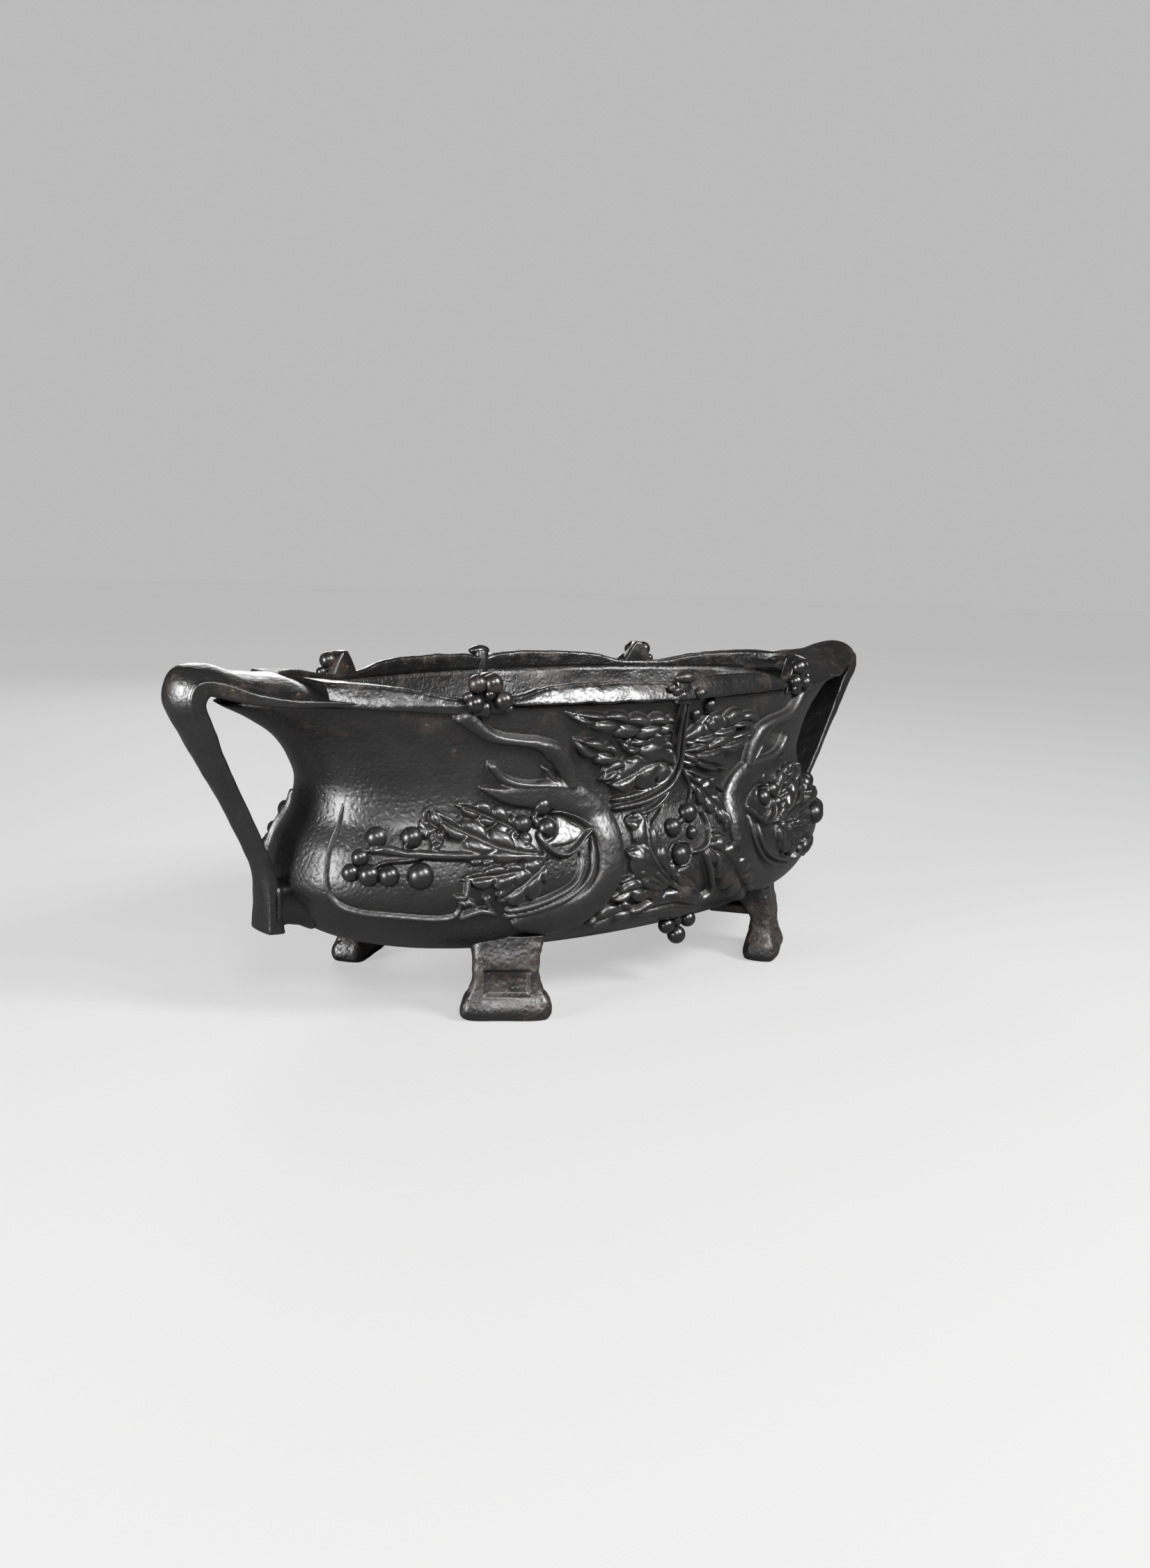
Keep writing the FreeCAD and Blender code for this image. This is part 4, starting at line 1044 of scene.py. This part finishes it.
class PLANTER_OT_bowl(bpy.types.Operator):
    """Builds the oval bowl with its floor, wall and bosses"""
    bl_idname = "planter.bowl"
    bl_label = "Build the bowl"

    def execute(self, context):
        turns = np.linspace(0, 2 * math.pi, around_points, endpoint=False)
        outside_shares, inside_shares = np.linspace(0, 1, 70)[:, None], np.linspace(1, 0, 60)[:, None]
        outside_z = underside_height + (seat_height - underside_height) * outside_shares ** row_crowding
        inside_z = floor_top + (seat_height - floor_top) * inside_shares ** row_crowding
        shrink = np.linspace(0.0, 0.97, 12)[:, None, None]
        base = skin(np.full((1, 1), underside_height), turns[None])
        floor = cavity(np.full((1, 1), floor_top), turns[None])
        inner = cavity(inside_z, turns[None])
        outer = skin(outside_z, turns[None])
        lip = outer[-1:] + (inner[:1] - outer[-1:]) * np.linspace(0.25, 0.75, 3)[:, None, None]
        inner = self.dented(inner)
        rings = np.concatenate([self.plate(base, shrink), outer, lip, inner, self.plate(floor, shrink[::-1])])
        bm = bmesh.new()
        tube_mesh(bm, rings, capped=False)
        self.bosses(bm)
        material = casting("Painted bowl", rust=0.2, level=rim_height, reach=0.045, pits=0.5)
        piece("painted_bowl", bm, material, ["bowl"])
        return {"FINISHED"}

    def plate(self, rim, shares):
        """Rings from the middle of a flat plate towards its rim."""
        flat = np.array([1, 1, 0])
        return rim * (1 - flat) + rim * flat * shares

    def dented(self, inner):
        """The inside wall with the hollows and swellings of its sand core."""
        a = np.gradient(inner, axis=0)
        b = np.roll(inner, -1, axis=1) - np.roll(inner, 1, axis=1)
        normals = np.cross(b, a)
        normals /= np.maximum(np.linalg.norm(normals, axis=-1, keepdims=True), 1e-12)
        rise = unevenness(inner, core_noise)
        fade = np.ones(len(inner))
        fade[0] = fade[-1] = 0
        return inner + normals * (rise * fade[:, None])[..., None]

    def bosses(self, bm):
        """Adds the round seats under the heads of the handles' screws."""
        low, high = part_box("handle_screws")
        middle = (low.z + high.z) / 2
        radius = (high.z - low.z) / 2 + boss_margin
        for side in (-1, 1):
            along = side * (high.x - boss_from_head) + side * boss_depth / 2
            place = Matrix.Translation((along, 0, middle)) @ Matrix.Rotation(math.pi / 2, 4, "Y")
            made = bmesh.ops.create_cone(
                bm, cap_ends=True, segments=32, radius1=radius, radius2=radius, depth=boss_depth,
                matrix=place)
            soften(bm, sharp_edges(made["verts"]), boss_round, 3)


class PLANTER_OT_rim_bands(bpy.types.Operator):
    """Builds the canted bands with waved tops on the rim"""
    bl_idname = "planter.rim_bands"
    bl_label = "Build the rim bands"

    def execute(self, context):
        material = casting("Painted rim", rust=0.12, level=rim_height, reach=0.012, pits=0.35, roughness=0.33)
        share = np.sin(np.linspace(-1, 1, 421) * math.pi / 2)
        x = share * hood_start
        top = seat_height + curve(rim_wave_shares, 1, np.abs(share)) * rim_band_height
        inner = (mouth_width / 2) * (1 - np.abs(share) ** mouth_power_x).clip(0) ** (1 / mouth_power_y)

        cluster = rim_cluster_share * lip_length / 2
        past = np.abs(x) - cluster
        near_cluster = np.maximum(-past - band_proud_before, past + band_proud_after)
        proud = np.clip(near_cluster / band_proud_fade, 0, 1)
        dip = sizes.band_dip * np.clip(1 - past / (hood_start - cluster), 0, 1)
        dip = dip * np.clip(1 + past / band_dip_fade, 0, 1)

        def outer(z):
            lean = sizes.band_lean * np.maximum(z - seat_height, 0) / rim_band_height
            grow = sizes.band_proud * band_fullness * proud - lean
            reach = 1 - (np.abs(x) / (lip_length / 2 + grow)) ** lip_power_x
            return (lip_width / 2 + grow) * reach ** (1 / lip_power_y)

        low = seat_height - dip
        section = [(outer(low) - band_tuck[0], low - band_tuck[1])]
        for k in np.linspace(0, 1, 9):
            z = low + (top - band_round - low) * k
            section.append((outer(z) + band_bulge * math.sin(math.pi * k), z))
        crown = outer(top)
        inner = np.minimum(inner, np.maximum(crown - 2 * band_round, 0.3 * crown))
        for angle in np.linspace(0.2, 1, 5) * math.pi / 2:
            inward, down = 1 - math.cos(angle), 1 - math.sin(angle)
            section.append((crown - band_round * inward, top - band_round * down))
        for k in (0.3, 0.6, 0.85):
            section.append((crown * (1 - k) + inner * k, top + band_crown * math.sin(math.pi * k)))
        for angle in np.linspace(0, 1, 5) * math.pi / 2:
            outward, down = 1 - math.sin(angle), 1 - math.cos(angle)
            section.append((inner + band_round * outward, top - band_round * down))
        for k in np.linspace(0.75, 0, 4):
            section.append((inner, seat_height + (top - band_round - seat_height) * k))
        rings = np.stack([np.stack([x, -y, z], -1) for y, z in section], axis=1)
        rings = roughened(rings, band_noise)
        for name, back in sides():
            bm = bmesh.new()
            tube_mesh(bm, turned(rings, False, back))
            piece("painted_rim_band_" + name, bm, material, ["rim_band_" + name])
        return {"FINISHED"}


class PLANTER_OT_handles(bpy.types.Operator):
    """Builds the two strap handles with their hoods and lugs"""
    bl_idname = "planter.handles"
    bl_label = "Build the handles"

    def execute(self, context):
        material = casting("Painted handle", roughness=0.34, pits=0.2, level=0.17, reach=0.03)
        rings = np.array([self.strap_ring(at) for at in np.linspace(0, 1, 150)])
        self.tear(rings[:torn_rings])
        shrink, drop = strap_end_rings.T[:, :, None, None]
        middle = rings[-1].mean(axis=0)
        end = middle + (rings[-1] - middle) * shrink + np.array([0, 0, -1]) * drop
        rings = roughened(np.concatenate([rings, end]), strap_noise)
        rings[..., 0] = np.minimum(rings[..., 0], half_span - strap_clearance)
        for name, left in (("handle_right", False), ("handle_left", True)):
            bm = bmesh.new()
            tube_mesh(bm, turned(rings, left, False))
            self.lug(bm, left)
            piece("painted_" + name, bm, material, [name])
        return {"FINISHED"}

    def tear(self, hood):
        """Gives the hood's first rings a torn edge, corners that reach over the band and thin sides."""
        torn = unevenness(hood[0], torn_noise)
        fade = np.linspace(1, 0, torn_rings)[:, None]
        corner = np.clip((np.abs(hood[0, :, 1]) - hood_corner_start) / hood_corner_width, 0, 1) ** 2
        hood[..., 0] += fade * (torn - hood_reach - hood_corner * corner)
        hood[..., 1] *= 1 + hood_spread * fade * corner
        under = hood[..., 2].min(axis=1, keepdims=True)
        hood[..., 2] = under + (hood[..., 2] - under) * (1 - hood_thinning * fade)

    def strap_ring(self, at):
        """The strap's section at a share of its way from the hood to its lower end."""
        along, height, lean, width, side, crown = (float(curve(strap_rows, k, at)) for k in range(1, 7))
        middle = np.array([along * half_span, 0, height * rim_height])
        out = np.array([math.cos(lean * math.pi / 2), 0, math.sin(lean * math.pi / 2)])
        full = side * sizes.strap_thickness
        round_off = min(strap_edge, 0.45 * full)
        reach = width * sizes.strap_width - round_off
        quarter = np.linspace(0, math.pi / 2, 6)
        rise = crown * sizes.strap_thickness
        walls = np.linspace(round_off, full - round_off, 5)[1:-1]
        over = np.linspace(reach, -reach, 31)[1:-1]
        under = np.linspace(-reach, reach, 21)[1:-1]
        corners = [(x, z, quarter + k * math.pi / 2) for k, (x, z) in enumerate(
            ((reach, full - round_off), (-reach, full - round_off), (-reach, round_off), (reach, round_off)))]
        bends = [(x + round_off * np.cos(turn), z + round_off * np.sin(turn)) for x, z, turn in corners]
        runs = [bends[0], (over, full + rise * (1 - (over / reach) ** 2)), bends[1],
                (0 * walls - reach - round_off, walls[::-1]), bends[2], (under, 0 * under), bends[3],
                (0 * walls + reach + round_off, walls)]
        across, level = (np.concatenate([run[k] for run in runs]) for k in (0, 1))
        return middle + across[:, None] * np.array([0, 1, 0]) + level[:, None] * out

    def lug(self, bm, left):
        """The rounded arm that ties the strap's lower end to the belly, stouter towards the belly."""
        end = strap_rows[-1, 1] * half_span + lug_depth_share * sizes.strap_thickness
        turns = np.linspace(0, 2 * math.pi, 48, endpoint=False)
        across, level = signed_power(np.cos(turns), 2 / lug_power), signed_power(np.sin(turns), 2 / lug_power)
        rings = []
        for share in np.linspace(0, 1, 16):
            swell = 1 + lug_flare * (share - lug_waist) ** 2
            rings.append(np.stack([
                np.full_like(turns, end + (lug_start - end) * share), across * swell * lug_width / 2,
                lug_middle + level * swell * lug_height / 2], -1))
        rings = roughened(np.array(rings), lug_noise)
        tube_mesh(bm, turned(rings, left, False))


class PLANTER_OT_feet(bpy.types.Operator):
    """Builds the four bracket feet with their sunk panels"""
    bl_idname = "planter.feet"
    bl_label = "Build the feet"

    def execute(self, context):
        material = casting("Painted foot", rust=0.55, level=0.02, reach=0.02, pits=0.7)
        foot_x, foot_y = foot_spacing[0] / 2, foot_spacing[1] / 2
        turn = math.atan2(foot_y * belly_length, foot_x * belly_width)
        out = np.array([math.cos(turn), math.sin(turn), 0])
        across = np.array([-out[1], out[0], 0])
        middle = np.array([foot_x, foot_y, 0])
        t = np.linspace(0, 2 * math.pi, 112, endpoint=False)
        rings = []
        for share in np.concatenate([sole_levels, np.linspace(0.04, 1, 56)]):
            round_off = 1 - sole_round * (1 - min(share / sole_levels[-1], 1)) ** 2
            width, depth, back = (float(curve(foot_shares, k, share)) for k in (1, 2, 3))
            width, depth = width * round_off, depth * round_off
            aside = foot_size[0] / 2 * width * signed_power(np.cos(t), 2 / foot_power)
            forward = foot_size[1] / 2 * depth * signed_power(np.sin(t), 2 / foot_power)
            z = share * foot_size[2]
            toe = toe_roll * math.sin(math.pi * min(z / toe_height, 1.0))
            forward = forward + np.where(forward > 0, toe, 0) - self.panel(aside, z, forward)
            forward = forward - back * foot_size[1] / 2
            rings.append(middle + out * forward[:, None] + across * aside[:, None] + np.array([0, 0, z]))
        rings = roughened(np.array(rings), foot_noise)
        rings[..., 2] = np.clip(rings[..., 2], 0, self.belly_level(rings))
        for name, left, back in quarters():
            bm = bmesh.new()
            tube_mesh(bm, turned(rings, left, not back))
            self.seat(bm, turned(middle, left, not back), turned(out, left, not back))
            piece("painted_foot_" + name, bm, material, ["foot_" + name])
        return {"FINISHED"}

    def panel(self, aside, z, forward):
        """How deep the outer face is sunk inside the panel, with a raised bar at its foot."""
        half_width, height = panel_size[0] / 2, panel_size[1]
        inside = np.minimum(half_width - np.abs(aside), min(z - panel_bottom, panel_bottom + height - z))
        sunk = np.clip(inside / panel_edge, 0, 1)
        return np.where(forward > 0, sunk * sunk * (3 - 2 * sunk) * panel_depth, 0)

    def belly_level(self, points):
        """How high a foot may reach at each place so that it ends inside the bowl's wall."""
        levels = np.linspace(underside_height, foot_limit, 90)
        belly = weights(levels)[0]
        x, y = np.abs(points[..., 0, None]), np.abs(points[..., 1, None])
        full = (x / (belly * belly_length / 2)) ** belly_power
        full = full + (y / (belly * belly_width / 2)) ** belly_power
        inside = full <= 1
        first = np.where(inside.any(-1), levels[inside.argmax(-1)], levels[-1])
        return first + foot_sink

    def seat(self, bm, middle, out):
        """Adds the block behind a foot's top that meets the bowl's underside."""
        reach = foot_size[1] / 2 + seat_reach
        turn = math.atan2(out[1], out[0])
        high = underside_height + seat_sink
        place = Matrix.Translation(Vector(middle) - Vector(out) * (reach / 2)
                                   + Vector((0, 0, (seat_bottom + high) / 2)))
        size = Matrix.Diagonal((reach, seat_width, high - seat_bottom, 1))
        made = bmesh.ops.create_cube(bm, size=1, matrix=place @ Matrix.Rotation(turn, 4, "Z") @ size)
        soften(bm, sharp_edges(made["verts"]), seat_round, 4)


class PLANTER_OT_cartouches(bpy.types.Operator):
    """Builds the framed sprays of holly on the four quarters"""
    bl_idname = "planter.cartouches"
    bl_label = "Build the cartouches"

    def execute(self, context):
        frames = Relief(*frame_patch)
        frames.stroke(frame_band_shares, frame_band_widths, frame_band_height, flat=frame_band_flatness)
        for line in frame_ridge_shares:
            frames.stroke(line, frame_ridge_width, frame_ridge_height)
        frames.stroke(ear_line_shares, ear_line_widths, ear_line_height, taper=ear_line_taper)
        frames.stroke(inner_ear_shares, inner_ear_widths, inner_ear_height, taper=inner_ear_taper)
        frames.stroke(ear_tick_shares, ear_tick_widths, ear_tick_height)
        frames.stroke(end_line_shares, end_line_width, end_line_height)
        for line in frame_knot_shares:
            frames.stroke(line, frame_ridge_width, frame_ridge_height)
        spray = Relief(*spray_patch)
        spray.stroke(heart_plate_shares, heart_plate_widths, heart_plate_height, flat=heart_plate_flatness)
        for line in heart_shares:
            spray.stroke(line, heart_width, heart_height, taper=heart_taper)
        for leaf in spray_leaves:
            spray.leaf(*leaf)
        for places, width, height in spray_stems:
            spray.stroke(places, spray_stem_width * width, spray_stem_boldness * height)
        spray.moats(spray_berries)
        frame_iron = casting("Painted frame", pits=0.2, grain=0.0002)
        spray_iron = casting("Painted spray", roughness=0.35, pits=0.1, grain=0.00015)
        for name, left, back in quarters():
            bm = bmesh.new()
            frames.build(bm, left, back)
            piece("raised_frame_" + name, bm, frame_iron, ["cartouche_frame_" + name])
            bm = bmesh.new()
            spray.build(bm, left, back)
            berries_on_skin(bm, spray_berries, left, back)
            piece("raised_spray_" + name, bm, spray_iron, ["holly_spray_" + name])
        return {"FINISHED"}


class PLANTER_OT_centre_holly(bpy.types.Operator):
    """Builds the holly in the middle of the long sides"""
    bl_idname = "planter.centre_holly"
    bl_label = "Build the middle holly"

    def execute(self, context):
        holly = Relief(*holly_patch)
        for leaf in centre_leaves:
            holly.leaf(*leaf)
        for places, width, height in stalk_lines + centre_twigs:
            holly.stroke(places, centre_stem_width * width, height, taper=centre_stem_taper)
        holly.moats(centre_berries)
        material = casting("Painted holly", roughness=0.35, pits=0.1, grain=0.00015, rust=0.1, level=0.06)
        for name, back in sides():
            bm = bmesh.new()
            holly.build(bm, back, back)
            berries_on_skin(bm, centre_berries, back, back)
            piece("raised_holly_" + name, bm, material, ["centre_holly_" + name])
        return {"FINISHED"}


class PLANTER_OT_rim_ornaments(bpy.types.Operator):
    """Builds the berry clusters, stalk knobs and hanging berries"""
    bl_idname = "planter.rim_ornaments"
    bl_label = "Build the rim's ornaments"

    def execute(self, context):
        material = casting(
            "Painted berries", roughness=0.3, rust=0.2, level=rim_height, pits=0.1, grain=0.00015)
        half = lip_length / 2
        along_x = rim_cluster_share * half
        turn = -math.acos((along_x / half) ** (lip_power_x / 2))
        near = skin(np.full(3, rim_height), np.array([turn - 0.01, turn, turn + 0.01]))
        place = Vector(near[1])
        along = Vector(near[2] - near[0]).normalized()
        out = Vector((along.y, -along.x, 0))
        for name, left, back in quarters():
            bm = bmesh.new()
            self.tab(bm, place, along, out)
            for a, b, c, size in rim_cluster_shares:
                middle = place + (along * a + out * b + Vector((0, 0, c))) * sizes.berry_radius
                ball(bm, middle, size * sizes.berry_radius)
            bmesh.ops.scale(bm, vec=(-1 if left else 1, -1 if back else 1, 1), verts=bm.verts)
            piece("berry_cluster_" + name, bm, material, ["rim_berries_" + name])
        for name, sign in (("front", 1), ("back", -1)):
            bm = bmesh.new()
            self.knob(bm)
            bmesh.ops.scale(bm, vec=(sign, sign, 1), verts=bm.verts)
            piece("stalk_knob_" + name, bm, material, ["rim_crest_" + name])
            bm = bmesh.new()
            place = Vector((0, -belly_width / 2 * pendant_out_share, pendant_level_share * rim_height))
            a, b, c = pendant_root_share
            root = place + Vector((a, b, -c)) * sizes.berry_radius
            for a, b, c, size in pendant_shares:
                middle = place + Vector((a, b, -c)) * sizes.berry_radius
                self.twig(bm, root, middle)
                ball(bm, middle, size * sizes.berry_radius)
            bmesh.ops.scale(bm, vec=(sign, sign, 1), verts=bm.verts)
            piece("hanging_berries_" + name, bm, material, ["pendant_berries_" + name])
        return {"FINISHED"}

    def twig(self, bm, start, end):
        """A short stem between two places."""
        run = end - start
        place = Matrix.Translation((start + end) / 2) @ run.to_track_quat("Z", "Y").to_matrix().to_4x4()
        bmesh.ops.create_cone(bm, cap_ends=True, segments=16, radius1=pendant_twig_radius,
                              radius2=0.8 * pendant_twig_radius, depth=run.length, matrix=place)

    def tab(self, bm, place, along, out):
        """Adds the pointed tab behind a cluster of berries."""
        radius = sizes.berry_radius
        thick = rim_tab_depth_share * radius
        corners = [bm.verts.new(place + (along * a + Vector((0, 0, c))) * radius - out * rim_tab_inward)
                   for a, c in rim_tab_shares]
        face = bm.faces.new(corners)
        raised = bmesh.ops.extrude_face_region(bm, geom=[face], use_keep_orig=True)["geom"]
        verts = [v for v in raised if isinstance(v, bmesh.types.BMVert)]
        bmesh.ops.translate(bm, verts=verts, vec=out * (rim_tab_inward + thick / 2))
        bmesh.ops.recalc_face_normals(bm, faces=bm.faces)
        soften(bm, bm.edges, rim_tab_round, 4)

    def knob(self, bm):
        """The stalk's flat cap and its neck across the band."""
        top = seat_height + rim_band_height + crest_rise
        cap = Matrix.Translation((0, -lip_width / 2, top - knob_cap_drop))
        squeeze = Matrix.Diagonal((1, *knob_cap_squeeze, 1))
        bmesh.ops.create_uvsphere(
            bm, u_segments=32, v_segments=24, radius=crest_width / 2, matrix=cap @ squeeze)
        neck = Matrix.Translation((0, -lip_width / 2 + knob_neck_inward, top - knob_neck_drop))
        neck = neck @ Matrix.Diagonal((1, knob_neck_squeeze, 1, 1))
        made = bmesh.ops.create_cone(
            bm, cap_ends=True, segments=28, radius1=knob_neck_radii[0], radius2=knob_neck_radii[1],
            depth=knob_neck_length, matrix=neck)
        soften(bm, sharp_edges(made["verts"]), knob_round, 3)
        for right, back, up, radius in knob_buds:
            ball(bm, Vector((right, -lip_width / 2 + back, top + up)), radius)


class PLANTER_OT_fasteners(bpy.types.Operator):
    """Paints the screws and dowels of the construction model"""
    bl_idname = "planter.fasteners"
    bl_label = "Paint the fasteners"

    def execute(self, context):
        material = painted_iron(
            "Painted screws", screw_paint, roughness=0.4, grain=0.0001, rust=0.5, level=0.04, reach=0.03)
        for name in ("foot_screws", "handle_screws", "handle_dowels"):
            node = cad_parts[name]
            if not node.material_slots:
                node.data.materials.append(material)
            for slot in node.material_slots:
                slot.material = material
        return {"FINISHED"}


class PLANTER_PT_panel(bpy.types.Panel):
    """Lists the planter's settings and build steps"""
    bl_idname = "PLANTER_PT_panel"
    bl_label = "Planter"
    bl_space_type = "VIEW_3D"
    bl_region_type = "UI"
    bl_category = "Planter"

    def draw(self, context):
        for pointer, group in groups.items():
            for name in group.__annotations__:
                self.layout.prop(getattr(context.scene, pointer), name)
        for step in steps:
            self.layout.operator(step.bl_idname)


steps = (PLANTER_OT_stage, PLANTER_OT_bowl, PLANTER_OT_rim_bands, PLANTER_OT_handles, PLANTER_OT_feet,
         PLANTER_OT_cartouches, PLANTER_OT_centre_holly, PLANTER_OT_rim_ornaments, PLANTER_OT_fasteners)
groups = {"planter_shape": PlanterShape, "planter_finish": PlanterFinish, "planter_studio": PlanterStudio}
classes = tuple(groups.values()) + steps + (PLANTER_PT_panel,)


def register():
    for cls in classes:
        bpy.utils.register_class(cls)
    for pointer, group in groups.items():
        setattr(bpy.types.Scene, pointer, bpy.props.PointerProperty(type=group))


def unregister():
    for pointer in groups:
        delattr(bpy.types.Scene, pointer)
    for cls in reversed(classes):
        bpy.utils.unregister_class(cls)


def main():
    register()
    bpy.ops.planter.stage()
    bpy.ops.planter.bowl()
    bpy.ops.planter.rim_bands()
    bpy.ops.planter.handles()
    bpy.ops.planter.feet()
    bpy.ops.planter.cartouches()
    bpy.ops.planter.centre_holly()
    bpy.ops.planter.rim_ornaments()
    bpy.ops.planter.fasteners()


if __name__ == "__main__":
    main()
